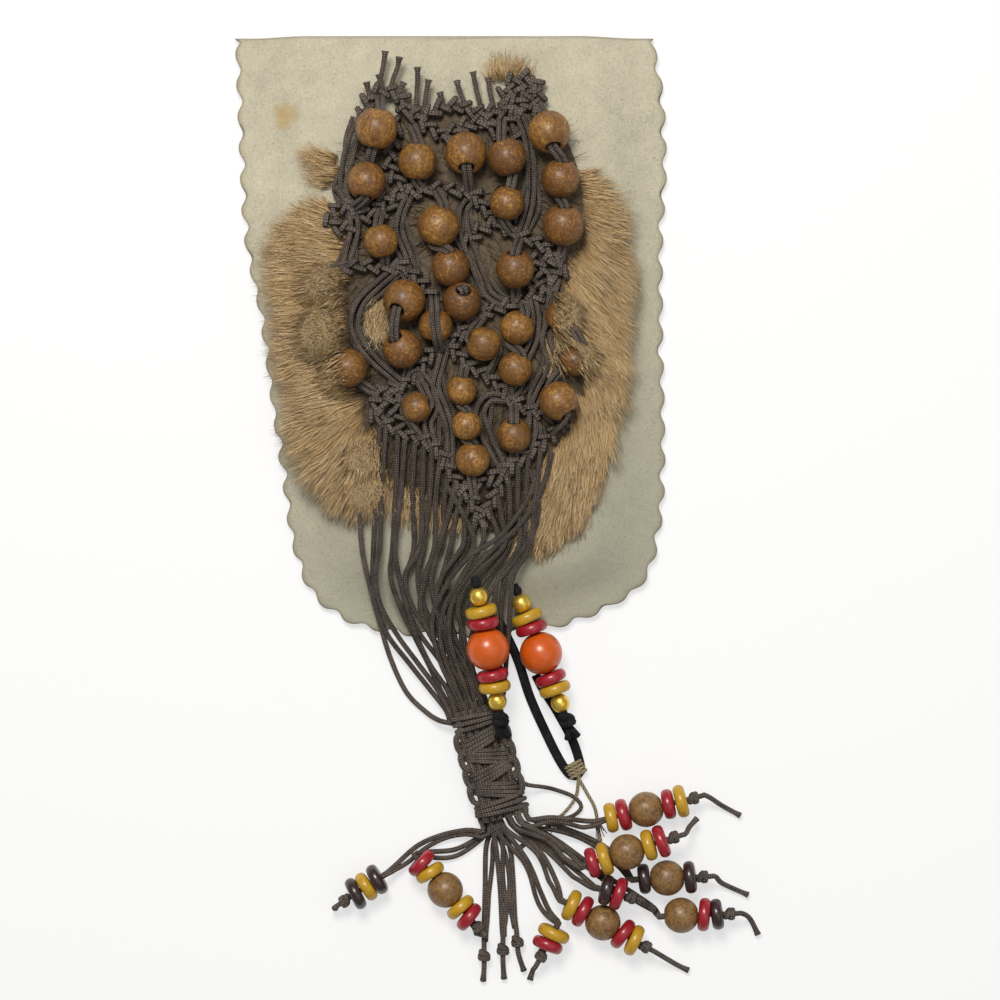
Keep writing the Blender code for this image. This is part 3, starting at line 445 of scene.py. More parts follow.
suede = makeSuede()
furHair = makeFurFinish("foxBrownHair", furLook)
shadedHairFinish = makeFurFinish("shadedHair", shadedHairLook)
furHide = makeHideFinish()
cordFinish = makeCordFinish("waxedCord", "open")
shadedCord = makeCordFinish("waxedCordShaded", "shaded")
wood = makeWood()
crackle = makeCrackle()
redPaint, yellowPaint, orangePaint, darkPaint = (
    makeGloss(name, *look) for name, look in paintLook.items())
gold = makeGold()
lace = makeLaceFinish()
twine = makeTwineFinish()
print("finishes mixed")


# Meshes in code
class Shape:
    # gathers rings, beads and tubes into one mesh
    def __init__(self):
        self.points = []
        self.faces = []
        self.paints = []
        self.laps = []
        self.marks = {}

    def addPoints(self, points, marks):
        start = len(self.points)
        self.points.extend(tuple(p) for p in points)
        for name in {**self.marks, **marks}:
            empty = (0.0, 0.0, 0.0) if name == "grain" else 0.0
            held = self.marks.setdefault(name, [empty] * start)
            value = marks.get(name, empty)
            held.extend(value if isinstance(value, list) else [value] * len(points))
        return start

    def addRings(self, rings, lengths=None, loop=False, paint=0, **marks):
        rows, count = len(rings), len(rings[0])
        start = self.addPoints([p for ring in rings for p in ring], marks)
        lengths = lengths or list(range(rows))
        for i in range(rows if loop else rows - 1):
            low, high = start + i * count, start + (i + 1) % rows * count
            near, far = lengths[i], lengths[(i + 1) % rows]
            for j in range(count):
                k = (j + 1) % count
                self.faces.append((low + j, low + k, high + k, high + j))
                u0, u1 = j / count, (j + 1) / count
                self.laps += [(u0, near), (u1, near), (u1, far), (u0, far)]
                self.paints.append(paint)
        if not loop:
            for row, turn in ((0, -1), (rows - 1, 1)):
                self.faces.append(tuple(range(start + row * count, start + (row + 1) * count))[::turn])
                self.laps += [(0.0, lengths[row])] * count
                self.paints.append(paint)

    def addFace(self, *corners):
        self.faces.append(corners)
        self.laps += [(0.0, 0.0)] * len(corners)
        self.paints.append(0)

    def make(self, name, *finishes):
        mesh = bpy.data.meshes.new(name)
        mesh.from_pydata(self.points, [], self.faces)
        for finish in finishes:
            mesh.materials.append(finish)
        mesh.polygons.foreach_set("material_index", self.paints)
        mesh.uv_layers.new(name="laps").data.foreach_set("uv", np.array(self.laps, np.float32).ravel())
        for mark, values in self.marks.items():
            kind, slot = ("FLOAT_VECTOR", "vector") if mark == "grain" else ("FLOAT", "value")
            made = mesh.attributes.new(mark, kind, "POINT")
            made.data.foreach_set(slot, np.array(values, np.float32).ravel())
        work = bmesh.new()
        work.from_mesh(mesh)
        bmesh.ops.recalc_face_normals(work, faces=work.faces[:])
        work.to_mesh(mesh)
        work.free()
        mesh.shade_smooth()
        return stand(name, mesh)


def stand(name, mesh):
    made = bpy.data.objects.new(name, mesh)
    scene.collection.objects.link(made)
    return made


def smoothLine(points, step):
    # points about a step apart on a smooth curve through the given ones
    out = []
    last = len(points) - 1
    for i in range(last):
        before, start = points[max(i - 1, 0)], points[i]
        end, after = points[i + 1], points[min(i + 2, last)]
        pieces = max(1, round((end - start).length / step))
        for k in range(pieces):
            t = k / pieces
            out.append(0.5 * (2 * start + (end - before) * t
                              + (2 * before - 5 * start + 4 * end - after) * t * t
                              + (3 * start - before - 3 * end + after) * t ** 3))
    out.append(points[-1].copy())
    return out


def planLine(points, step, *height):
    return smoothLine([plan(*point, *height) for point in points], step)


def lineLength(path):
    return sum((b - a).length for a, b in zip(path, path[1:]))


def frames(path):
    # along, side and up at each point, carried along the path without twist
    rows = []
    side = None
    for i in range(len(path)):
        along = (path[min(i + 1, len(path) - 1)] - path[max(i - 1, 0)]).normalized()
        if side is None:
            side = along.cross(Vector((0, 0, 1)))
            side = side if side.length > 1e-3 else Vector((1, 0, 0))
        side = (side - along * side.dot(along)).normalized()
        rows.append((along, side, side.cross(along)))
    return rows


def turns(count):
    # evenly spaced angles of one whole turn
    return [2 * pi * k / count for k in range(count)]


def ringOf(centre, across, up, radius, sides, flat=1.0):
    return [centre + across * (radius * cos(a)) + up * (radius * flat * sin(a)) for a in turns(sides)]


def addCord(shape, path, radius, sides=8, tail=0.0, flat=1.0):
    # a round or flat cord; a tail above 0 flares its cut end by that share
    radii = [radius] * len(path)
    if tail:
        radii[-1] = radius * (1 + tail)
        radii[-2] = radius * (1 + tail * 0.4)
    rings, lengths, run = [], [], 0.0
    for i, (point, (_, side, up)) in enumerate(zip(path, frames(path))):
        run += (point - path[i - 1]).length / mm if i else 0.0
        lengths.append(run)
        rings.append(ringOf(point, side, up, radii[i], sides, flat))
    shape.addRings(rings, lengths)


def addLoop(shape, spotAt, radius, lap, count, sides, paint=0):
    # a closed turn of cord: spotAt gives its centre at an angle and the two ways across it
    rings = [ringOf(*spotAt(angle), radius, sides) for angle in turns(count)]
    shape.addRings(rings, [lap * i / count for i in range(count)], loop=True, paint=paint)


def settle(made, slot, *nodes):
    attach(made, "root")
    if nodes:
        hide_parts(*nodes)


def declareCord(made, start, path, radius, farEnd, **more):
    round(lineLength(path), 4)
    2 * radius


def beadTurn(axis):
    # the turn that lays a bead's own Z along the given axis
    return axis.to_track_quat("Z", "Y").to_matrix()


def addTurned(shape, centre, axis, outline, seed, bore=0.0, sides=28, paint=0, tone=0.5):
    # a turned bead or disc from its outline: distance along the axis, radius and how proud it is
    turn = beadTurn(axis)
    rows = list(outline)
    hollow = [0.0] * len(rows)
    if bore:
        first, last = rows[0][0], rows[-1][0]
        chamfer = 0.12 * mm
        inner = (last - chamfer, last * 0.4, first * 0.4, first + chamfer)
        rows += [(place, bore, 0.0) for place in inner]
        # the inside of the bore is marked for the deep wood colour: painted shade in the hole
        hollow += [0.75, 1.0, 1.0, 0.75]
    rings, grain, proud, deep = [], [], [], []
    for (place, radius, edge), dark in zip(rows, hollow):
        ring = []
        for j in range(sides):
            angle = 2 * pi * j / sides
            own = Vector((radius * cos(angle), radius * sin(angle), place))
            ring.append(centre + turn @ own)
            grain.append((own.x + seed, own.y + seed * 1.7, own.z - seed))
            proud.append(edge)
            deep.append(dark)
        rings.append(ring)
    shape.addRings(rings, loop=bool(bore), paint=paint, grain=grain, proud=proud, hollow=deep,
                   tone=tone)


def roundOutline(radius, length, mouth, count=15):
    # a round bead with flattened mouths, as (place, radius, how proud)
    rows = []
    for k in range(count):
        angle = mouth * (2 * k / (count - 1) - 1)
        rows.append((length / 2 * sin(angle) / sin(mouth), radius * cos(angle), 0.0))
    return rows


discShape = {"rimRows": 9, "squareness": 0.75, "dish": 0.1 * mm, "dishShare": 0.25, "faceShare": 0.45}


def discOutline(radius, thickness, rounding):
    # a flat disc with a rounded rim
    half, count = thickness / 2, discShape["rimRows"]
    rows = [(-half + discShape["dish"], radius * discShape["dishShare"], 0.0),
            (-half, radius * discShape["faceShare"], 0.0)]
    ends = [(-place, wide, 0.0) for place, wide, _ in rows[::-1]]
    for k in range(count):
        angle = pi * (k / (count - 1) - 0.5)
        proud = max(0.0, cos(angle))
        bulge = radius * (1 - rounding) + radius * rounding * proud ** discShape["squareness"]
        rows.append((half * sin(angle), bulge, proud))
    return rows + ends


# Geometry node trees
def newTree(name, inputs):
    # the interface of a tree: geometry in, the named sizes, geometry out
    group = bpy.data.node_groups.new(name, "GeometryNodeTree")
    group.interface.new_socket("Geometry", in_out="INPUT", socket_type="NodeSocketGeometry")
    for label, kind in inputs.items():
        group.interface.new_socket(label, in_out="INPUT", socket_type="NodeSocket" + kind)
    group.interface.new_socket("Geometry", in_out="OUTPUT", socket_type="NodeSocketGeometry")
    tree = Tree(group)
    entry = group.nodes.new("NodeGroupInput")
    given = {socket.name: Value(group, socket) for socket in entry.outputs if socket.name}
    return tree, given


def randomNumber(tree, low, high, seed):
    return tree.node("FunctionNodeRandomValue", {"data_type": "FLOAT"}, {2: low, 3: high, 8: seed}, 1)


def named(tree, name, kind="FLOAT"):
    return tree.node("GeometryNodeInputNamedAttribute", {"data_type": kind}, {"Name": name})


def turned(tree, rotation, angles):
    extra = tree.node("FunctionNodeEulerToRotation", None, {"Euler": angles})
    return tree.node("FunctionNodeRotateRotation", {"rotation_space": "LOCAL"},
                     {"Rotation": rotation, "Rotate By": extra})


def endTree(tree, geometry, given):
    geometry = tree.node("GeometryNodeSetMaterial", None,
                         {"Geometry": geometry, "Material": given["Material"]})
    leave = tree.tree.nodes.new("NodeGroupOutput")
    tree.tree.links.new(geometry.socket, leave.inputs[0])
    return tree.tree


def grow(name, source, group, values, helper):
    # runs a tree on a source object and keeps the result as a plain mesh
    modifier = source.modifiers.new(name, "NODES")
    modifier.node_group = group
    for item in group.interface.items_tree:
        if item.in_out == "INPUT" and item.name in values:
            modifier[item.identifier] = values[item.name]
    graph = bpy.context.evaluated_depsgraph_get()
    mesh = bpy.data.meshes.new_from_object(source.evaluated_get(graph), preserve_all_data_layers=True,
                                           depsgraph=graph)
    for spent in (source, helper):
        bpy.data.objects.remove(spent)
    mesh.name = name
    mesh.shade_smooth()
    return stand(name, mesh)


def makeWrapTree():
    # wraps of cord set along lines, each turned a little off the line, to one side and the other
    tree, given = newTree("wrapsAlongLines", {"Wrap": "Object", "Pitch": "Float", "Stagger": "Float",
                                              "Slant": "Float", "Lean": "Float", "Loose": "Float",
                                              "Seed": "Int", "Material": "Material"})
    curve = tree.node("GeometryNodeMeshToCurve", None, {"Mesh": given["Geometry"]})
    points = tree.node("GeometryNodeCurveToPoints", {"mode": "LENGTH"},
                       {"Curve": curve, "Length": given["Pitch"]})
    tangent = tree.other(points, "Tangent")
    facing = tree.node("FunctionNodeAlignRotationToVector", {"axis": "Y", "pivot_axis": "Z"},
                       {"Vector": tangent})
    index = tree.node("GeometryNodeInputIndex")
    side = (index % 2.0) * 2.0 - 1.0
    across = tree.vector("CROSS_PRODUCT", tangent, (0, 0, 1))
    across = tree.vector("SCALE", across, side * given["Stagger"])
    placed = tree.node("GeometryNodeSetPosition", None, {"Geometry": points, "Offset": across})
    stray = randomNumber(tree, -1.0, 1.0, given["Seed"]) * given["Loose"]
    tilt = randomNumber(tree, -0.6, 0.6, 7) * given["Loose"]
    angles = {"X": tilt, "Z": side * given["Slant"] + given["Lean"] + stray}
    facing = turned(tree, facing, tree.node("ShaderNodeCombineXYZ", None, angles))
    wrap = tree.node("GeometryNodeObjectInfo", None, {"Object": given["Wrap"]}, "Geometry")
    size = randomNumber(tree, 0.92, 1.1, 3)
    made = tree.node("GeometryNodeInstanceOnPoints", None,
                     {"Points": placed, "Instance": wrap, "Rotation": facing, "Scale": size})
    return endTree(tree, tree.node("GeometryNodeRealizeInstances", None, {"Geometry": made}), given)


def makeHairTree():
    # tapered locks over a skin: they follow its flow, droop, and draw together into tufts
    tree, given = newTree("hairOverSkin", {"Lock": "Object", "Density": "Float", "Spread": "Float",
                                           "Droop": "Float", "Tuft": "Float", "Seed": "Int",
                                           "Material": "Material"})
    points = tree.node("GeometryNodeDistributePointsOnFaces", None,
                       {"Mesh": given["Geometry"], "Density": given["Density"], "Seed": given["Seed"]})
    stray = tree.node("FunctionNodeRandomValue", {"data_type": "FLOAT_VECTOR"},
                      {0: (-1, -1, -0.5), 1: (1, 1, 1), 8: 11}, 0)
    stray = tree.vector("SCALE", stray, given["Spread"])
    course = tree.vector("ADD", named(tree, "flow", "FLOAT_VECTOR"), stray)
    facing = tree.node("FunctionNodeAlignRotationToVector", {"axis": "Z"}, {"Vector": course})
    spin = tree.node("ShaderNodeCombineXYZ", None, {"Z": randomNumber(tree, 0.0, 2 * pi, 12)})
    facing = turned(tree, facing, spin)
    length = named(tree, "reach") * randomNumber(tree, 0.55, 1.15, 13)
    thick = randomNumber(tree, 0.7, 1.3, 14)
    size = tree.node("ShaderNodeCombineXYZ", None, {"X": thick, "Y": thick, "Z": length})
    lock = tree.node("GeometryNodeObjectInfo", None, {"Object": given["Lock"]}, "Geometry")
    made = tree.node("GeometryNodeInstanceOnPoints", None,
                     {"Points": points, "Instance": lock, "Rotation": facing, "Scale": size})
    made = tree.node("GeometryNodeStoreNamedAttribute", {"data_type": "FLOAT", "domain": "INSTANCE"},
                     {"Geometry": made, "Name": "tone", "Value": randomNumber(tree, 0.0, 1.0, 15)})
    made = tree.node("GeometryNodeRealizeInstances", None, {"Geometry": made})
    along = named(tree, "along")
    bend = along * along
    place = tree.node("GeometryNodeInputPosition")
    wander = tree.node("ShaderNodeTexNoise", None, {"Vector": place, "Scale": 210.0, "Detail": 1.0},
                       "Color")
    wander = tree.vector("SUBTRACT", wander, (0.5, 0.5, 0.5))
    wander = tree.vector("SCALE", wander, bend * given["Tuft"])
    fall = tree.node("ShaderNodeCombineXYZ", None, {"Z": bend * given["Droop"] * -1.0})
    move = tree.vector("ADD", wander, fall)
    made = tree.node("GeometryNodeSetPosition", None, {"Geometry": made, "Offset": move})
    return endTree(tree, made, given)


def makeLines(name, lines):
    # one mesh of loose lines, for the wraps to follow
    points, edges = [], []
    for line in lines:
        start = len(points)
        points += [tuple(p) for p in line]
        edges += [(start + i, start + i + 1) for i in range(len(line) - 1)]
    mesh = bpy.data.meshes.new(name)
    mesh.from_pydata(points, edges, [])
    return stand(name, mesh)


def makeWrap(name, halfWidth, halfHeight, radius, segments, sides):
    # one turn of cord round a line that runs along Y
    def spotAt(angle):
        outward = Vector((cos(angle) / halfWidth, 0, sin(angle) / halfHeight)).normalized()
        return Vector((halfWidth * cos(angle), 0, halfHeight * sin(angle))), outward, Vector((0, 1, 0))

    shape = Shape()
    addLoop(shape, spotAt, radius, pi * (halfWidth + halfHeight) / mm, segments, sides)
    return shape.make(name)


wrapTree = makeWrapTree()
hairTree = makeHairTree()
cordRadius = 0.75 * mm
print("node trees built")


# Fringe. Each strand: its place in the neck's foot (column, row), its way to the beads in plan with
# heights, the beads from the neck outwards (r red, y yellow, d dark, f wood), the line that they
# lie on with its height, and its tail.
fringe = {
    "left_far": ((0, 1), [(466, 832, 3.0), (440, 838, 1.4), (416, 849, 1.2), (394, 868, 3.2)],
                 "dyd", (382, 877), (346, 901), 5.0, [(334, 911, 1.2)]),
    "left_near": ((0, 0), [(475, 842, 1.2), (455, 852, 1.2), (434, 854, 1.8), (422, 854, 3.8)],
                  "ryfyr", (417, 859), (468, 917), 5.5, [(476, 936, 1.0)]),
    "centre_left": ((1, 0), [(486, 850, 1.2), (485, 890, 1.0), (484, 930, 1.0)],
                    "", (484, 952), (484, 964), 2.6, [(483, 984, 1.0)]),
    "centre": ((1, 1), [(496, 850, 3.0), (500, 890, 1.2), (502, 930, 1.0)],
               "", (503, 946), (503, 958), 2.6, [(504, 982, 1.0)]),
    "centre_right": ((2, 0), [(510, 850, 1.2), (513, 880, 1.0), (515, 920, 1.0)],
                     "", (517, 938), (518, 950), 2.6, [(524, 974, 1.0)]),
    "right_7": ((2, 1), [(527, 862, 3.0), (541, 895, 1.4), (550, 914, 2.6)],
                "yr", (557, 929), (545, 951), 5.2, [(533, 974, 1.2), (530, 984, 1.0)]),
    "right_6": ((3, 1), [(541, 854, 4.6), (557, 884, 5.4)],
                "yrfry", (566, 903), (650, 950), 5.8, [(678, 968, 1.6), (690, 974, 1.0)]),
    "right_5": ((4, 1), [(552, 852, 4.4), (582, 876, 6.6)],
                "dr", (600, 888), (634, 898), 8.6, [(648, 906, 6.0), (656, 912, 5.2)]),
    "right_4": ((4, 0), [(556, 842, 1.2), (600, 874, 1.0), (640, 900, 1.0), (656, 911, 3.4)],
                "frd", (665, 917), (730, 915), 5.5, [(752, 922, 1.6), (760, 938, 1.0)]),
    "right_2": ((4, 2), [(550, 838, 7.6), (572, 856, 8.4)],
                "ryfyr", (586, 864), (670, 838), 9.4, [(690, 828, 5.2), (698, 820, 3.6)]),
    "right_3": ((5, 1), [(560, 828, 3.4), (600, 846, 1.0), (622, 864, 1.4)],
                "dfd", (638, 880), (700, 878), 5.5, [(724, 886, 2.0), (750, 898, 1.0)]),
    "right_1": ((5, 2), [(552, 818, 6.8), (588, 822, 5.8)],
                "yrfry", (605, 820), (694, 799), 5.6, [(724, 808, 1.8), (742, 818, 1.0)]),
}
fringeSizes = {"discRadius": 4.6 * mm, "discThickness": 3.7 * mm, "woodRadius": 5.1 * mm,
               "woodLength": 9.5 * mm, "knotRadius": 1.9 * mm, "pitchX": 2.7, "pitchZ": 2.75,
               "low": 1.45, "lead": 1.5 * mm, "tilt": 0.13, "rise": 0.1, "uneven": 0.05, "thin": 0.9,
               "rim": 0.36}
knotShape = {"thickness": 0.46, "shift": 0.34, "leans": (-38, 34, -4), "rings": 14, "sides": 7}
mateShape = {"radius": 0.93 * cordRadius, "apart": 1.55, "sway": 0.5, "sag": 0.3 * mm,
             "lowest": 0.85 * mm, "shortest": 0.031}
neck = {
    "top": (475, 712), "foot": (503, 815), "height": 4.7,
    "core": {"columns": 6, "pitch": 2.1, "rise": 1.5, "radius": 1.05 * mm},
    "topTurns": [(1.1, 7.0, 3.55, 0.5), (2.6, 6.8, 3.55, 0.1), (4.1, 6.6, 3.55, -0.3)],
    "footTurns": [(-4.0, 7.0, 3.6, -0.5), (-2.55, 7.15, 3.6, -0.2), (-1.1, 7.3, 3.6, 0.3)],
    "knots": {"count": 4, "first": 8.1, "pitch": 4.95, "strands": 4, "beside": 1.12, "slant": 1.5,
              "radius": 0.72},
    "turnRadius": 0.74, "loops": {"out": 6.5, "rise": 2.3, "reach": 3.2, "radius": 0.8 * mm},
}


def neckFrame():
    top, foot = plan(*neck["top"], neck["height"]), plan(*neck["foot"], neck["height"])
    along = (foot - top).normalized()
    return top, foot, along, Vector((0, 0, 1)).cross(along)


def addKnot(shape, centre, along, radius, paint=0):
    # an overhand knot: tight turns of cord that cross each other
    turn = beadTurn(along)
    thick = radius * knotShape["thickness"]
    for k, tilt in enumerate(knotShape["leans"]):
        lean = turn @ Matrix.Rotation(radians(tilt), 3, "X" if k % 2 else "Y")
        middle = centre + turn @ Vector((0, 0, (k - 1) * radius * knotShape["shift"]))

        def spotAt(angle):
            outward = lean @ Vector((cos(angle), sin(angle), 0))
            return middle + outward * (radius - thick), outward, lean @ Vector((0, 0, 1))

        addLoop(shape, spotAt, thick, 2 * pi * radius / mm, knotShape["rings"], knotShape["sides"], paint)


def makeStrand(name, spec):
    (column, row), way, beads, first, last, height, tail = spec
    sizes = fringeSizes
    _, foot, along, across = neckFrame()
    root = foot + along * (0.3 * mm) + across * (sizes["pitchX"] * (column - 2.5) * mm)
    root.z = (sizes["low"] + sizes["pitchZ"] * row) * mm
    start = plan(*first, height)
    heading = (plan(*last, height) - start).normalized()
    beadShape = Shape()
    place = 0.0
    for k, kind in enumerate(beads):
        seed = 0.013 * (k + 1) + 0.007 * len(name)
        if kind == "f":
            centre = start + heading * (place + sizes["woodLength"] / 2)
            addTurned(beadShape, centre, heading,
                      roundOutline(sizes["woodRadius"], sizes["woodLength"], radians(68), 17), seed,
                      paint=3)
            place += sizes["woodLength"]
        else:
            tilt = sizes["tilt"]
            wobble = Vector((tilt * sin(k * 5 + column), tilt * cos(k * 3 + row),
                             sizes["rise"] * sin(k * 7)))
            centre = start + heading * (place + sizes["discThickness"] / 2)
            radius = sizes["discRadius"] * (1 + sizes["uneven"] * sin(k * 4 + column))
            addTurned(beadShape, centre, (heading + wobble).normalized(),
                      discOutline(radius, sizes["discThickness"] * sizes["thin"], sizes["rim"]), seed,
                      sides=26, paint="ryd".index(kind))
            place += sizes["discThickness"]
    knot = start + heading * (place + sizes["knotRadius"])
    addKnot(beadShape, knot, heading, sizes["knotRadius"], paint=4)
    out = knot + heading * (sizes["knotRadius"] + sizes["lead"])
    line = ([root - along * (1.0 * mm), root, root + along * (3 * mm)] + [plan(*p) for p in way]
            + [start - heading * sizes["lead"], start, knot, out] + [plan(*p) for p in tail])
    path = smoothLine(line, 1.2 * mm)
    cordShape = Shape()
    addCord(cordShape, path, cordRadius, 10, tail=0.3)
    cord = cordShape.make("fringeCord_" + name, cordFinish)
    settle(cord, "cord", "fringe_" + name)
    ends = beadShape.make("fringeBeads_" + name, redPaint, yellowPaint, darkPaint, crackle, cordFinish)
    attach(ends, "root")
    declareCord(cord, root, path, cordRadius, "knot", with_pieces=[ends])
    makeMate(name, path, start, 1 if column > 1 else -1, bool(beads))


def makeMate(name, path, start, hand, strung):
    # the strand's second cord: it runs beside the first one and ends in the beads
    nearest = min(range(len(path)), key=lambda i: (path[i] - start).length)
    lead = path[:nearest + (2 if strung else -1)]
    line = []
    for i, (point, (_, side, _)) in enumerate(zip(lead, frames(lead))):
        share = i / (len(lead) - 1)
        apart = (mateShape["apart"] + mateShape["sway"] * sin(9 * share + len(name))) * mm
        closing = min(1.0, 3 * (1 - share) + 0.15)
        moved = point + Vector((side.x, side.y, 0)).normalized() * (hand * apart * closing)
        moved.z = max(moved.z - mateShape["sag"] * sin(pi * share), mateShape["lowest"])
        line.append(moved)
    shape = Shape()
    addCord(shape, line, mateShape["radius"], 10, tail=0.0 if strung else 0.3)
    mate = shape.make("fringeMate_" + name, cordFinish)
    settle(mate, "cord")
    if lineLength(line) > mateShape["shortest"]:
        declareCord(mate, line[0], line, mateShape["radius"], "object" if strung else "bare")


for strand in fringe.items():
    makeStrand(*strand)
print("fringe strung")


# Loose cords
looseCords = {
    "side_cord": {"way": [(366, 452, 10.8), (361, 500, 10.8), (362, 546, 10.6), (370, 586, 9.2),
                          (379, 622, 5.2), (390, 660, 1.8), (406, 694, 1.2), (426, 714, 1.4),
                          (440, 722, 3.6), (452, 724, 4.6)],
                  "radius": cordRadius, "finish": cordFinish, "slot": "cord", "end": "object"},
    "side_strand": {"way": [(520, 782, 5.0), (528, 786, 4.6), (544, 789, 1.8), (556, 792, 1.0),
                            (574, 799, 1.0), (582, 809, 1.0), (574, 818, 1.0), (558, 823, 1.0),
                            (548, 826, 1.0)],
                    "radius": 0.62 * mm, "finish": cordFinish, "slot": "cord", "end": "bare",
                    "tail": 0.3},
    "lace_loop": {"way": [(498, 620, 5.4), (509, 641, 5.0), (519, 664, 2.2), (530, 698, 1.4),
                          (545, 732, 1.4), (560, 762, 1.4), (571, 777, 1.6), (579, 776, 1.6),
                          (581, 768, 1.4), (573, 742, 1.4), (557, 712, 1.4), (543, 690, 1.4),
                          (536, 676, 1.4)],
                  "radius": 1.35 * mm, "flat": 0.6, "finish": lace, "slot": "lace",
                  "end": "object"},
}


def makeLooseCord(name, spec):
    path = planLine(spec["way"], 1.1 * mm)
    shape = Shape()
    addCord(shape, path, spec["radius"], 12, spec.get("tail", 0.0), spec.get("flat", 1.0))
    made = shape.make(name.replace("_", "") + "Line", spec["finish"])
    settle(made, spec["slot"], name)
    declareCord(made, path[0], path, spec["radius"], spec["end"])


for loose in looseCords.items():
    makeLooseCord(*loose)

twineSizes = {
    "ways": [[(574, 768, 3.2), (578, 778, 2.4), (588, 796, 1.2), (596, 812, 0.9), (600, 838, 0.9)],
             [(580, 770, 3.2), (579, 782, 2.2), (576, 800, 1.0), (564, 816, 0.8), (548, 829, 0.8)]],
    "radius": 0.5 * mm, "centre": (576, 771, 1.6), "line": ((568, 752), (581, 776)), "turns": 4,
    "pitch": 1.05 * mm, "halfWidth": 2.5 * mm, "halfHeight": 1.25 * mm, "lap": 14.0,
    "fibres": 9, "drift": 2.2 * mm, "fibreRadius": 0.11 * mm, "shortest": 0.0305, "stretched": 0.031,
}


def makeTwine():
    # two ends of one twine, bound round the loop's foot and frayed below it
    sizes = twineSizes
    tie = Shape()
    low, high = (plan(*p) for p in sizes["line"])
    lineUp = (high - low).normalized()
    across = Vector((0, 0, 1)).cross(lineUp)
    for k in range(sizes["turns"]):
        middle = plan(*sizes["centre"]) + lineUp * ((k - (sizes["turns"] - 1) / 2) * sizes["pitch"])

        def spotAt(angle):
            spot = (middle + across * (sizes["halfWidth"] * cos(angle))
                    + Vector((0, 0, sizes["halfHeight"] * sin(angle))))
            return spot, (across * cos(angle) + Vector((0, 0, sin(angle)))).normalized(), lineUp

        addLoop(tie, spotAt, sizes["radius"], sizes["lap"], 18, 7)
    generator = np.random.default_rng(5)
    for way in sizes["ways"]:
        ahead, back = plan(*way[-1]), plan(*way[-2])
        for _ in range(sizes["fibres"]):
            drift = Vector(generator.uniform(-1, 1, 3)) * sizes["drift"]
            drift.z = abs(drift.z) * 0.3
            line = smoothLine([back, back.lerp(ahead, 0.6) + drift * 0.4, ahead + drift], 2 * mm)
            addCord(tie, line, sizes["fibreRadius"], 4)
    settle(tie.make("twineBinding", twine), "twine", "loop_twine")
    for k, way in enumerate(sizes["ways"]):
        path = planLine(way, 0.9 * mm)
        if lineLength(path) < sizes["shortest"]:
            missing = sizes["stretched"] - lineLength(path)
            path.append(path[-1] + (path[-1] - path[-2]).normalized() * missing)
        shape = Shape()
        addCord(shape, path, sizes["radius"], 8, tail=0.5)
        end = shape.make("twineEnd_" + str(k + 1), twine)
        settle(end, "twine")
        declareCord(end, path[0], path, sizes["radius"], "bare")


makeTwine()
print("loose cords laid")


# Pouch
pouch = {
    "edge": [(-64.8, 84.0), (-63.8, 55.0), (-62.3, 27.0), (-58.0, 5.0), (-54.6, -20.0),
             (-51.5, -42.0), (-48.4, -62.0), (-43.0, -75.5), (-32.0, -84.0), (-13.0, -88.0),
             (9.0, -88.0), (28.0, -85.5), (43.5, -79.5), (53.6, -71.5), (57.8, -57.0),
             (59.0, -38.0), (58.4, 0.0), (58.4, 26.0), (59.4, 46.0), (58.6, 68.0), (55.6, 84.0)],
    "spine": (-2.0, -40.0), "pitch": 9.0, "depth": 1.6, "depths": (0.75, 1.2), "perScallop": 10,
    "thickness": 1.2, "margin": 5.0, "ramp": 16.0, "marginUnder": 1.5, "rise": 5.0, "notchReach": 3.2,
    "curl": 0.25, "curlReach": 2.0, "soft": 0.3, "softReach": 0.25, "wornReach": 1.3,
    "wornMouth": 0.8,
    "rows": [0.0, 0.25, 0.8, 1.8, 3.2, 5.0, 7.0, 9.5, 12.0, 14.5, 17.0, 19.5, 22.0, 26.0, 31.0,
             37.0, 43.0],
}


def pouchOutline():
    # evenly spaced points of the edge before it is pinked, in millimetres
    fine = smoothLine([Vector((x, y, 0)) for x, y in pouch["edge"]], 0.5)
    run = [0.0]
    for a, b in zip(fine, fine[1:]):
        run.append(run[-1] + (b - a).length)
    scallops = round(run[-1] / pouch["pitch"])
    wanted = np.linspace(0, run[-1], scallops * pouch["perScallop"] + 1)
    xs = np.interp(wanted, run, [p.x for p in fine])
    ys = np.interp(wanted, run, [p.y for p in fine])
    return [Vector((x, y, 0)) for x, y in zip(xs, ys)]


def fade(distance, reach):
    return max(0.0, 1 - distance / reach)


def movedIn(point, distance, mouth):
    spine = Vector((pouch["spine"][0], max(point.y, pouch["spine"][1]), 0))
    moved = point + (spine - point).normalized() * distance
    if point.y > mouth - 1e-6:
        moved.y = mouth
    return moved


def panelHeight(distance, lift):
    share = min(1.0, max(0.0, (distance - pouch["margin"]) / pouch["ramp"]))
    return lift * share * share * (3 - 2 * share) if lift else 0.0


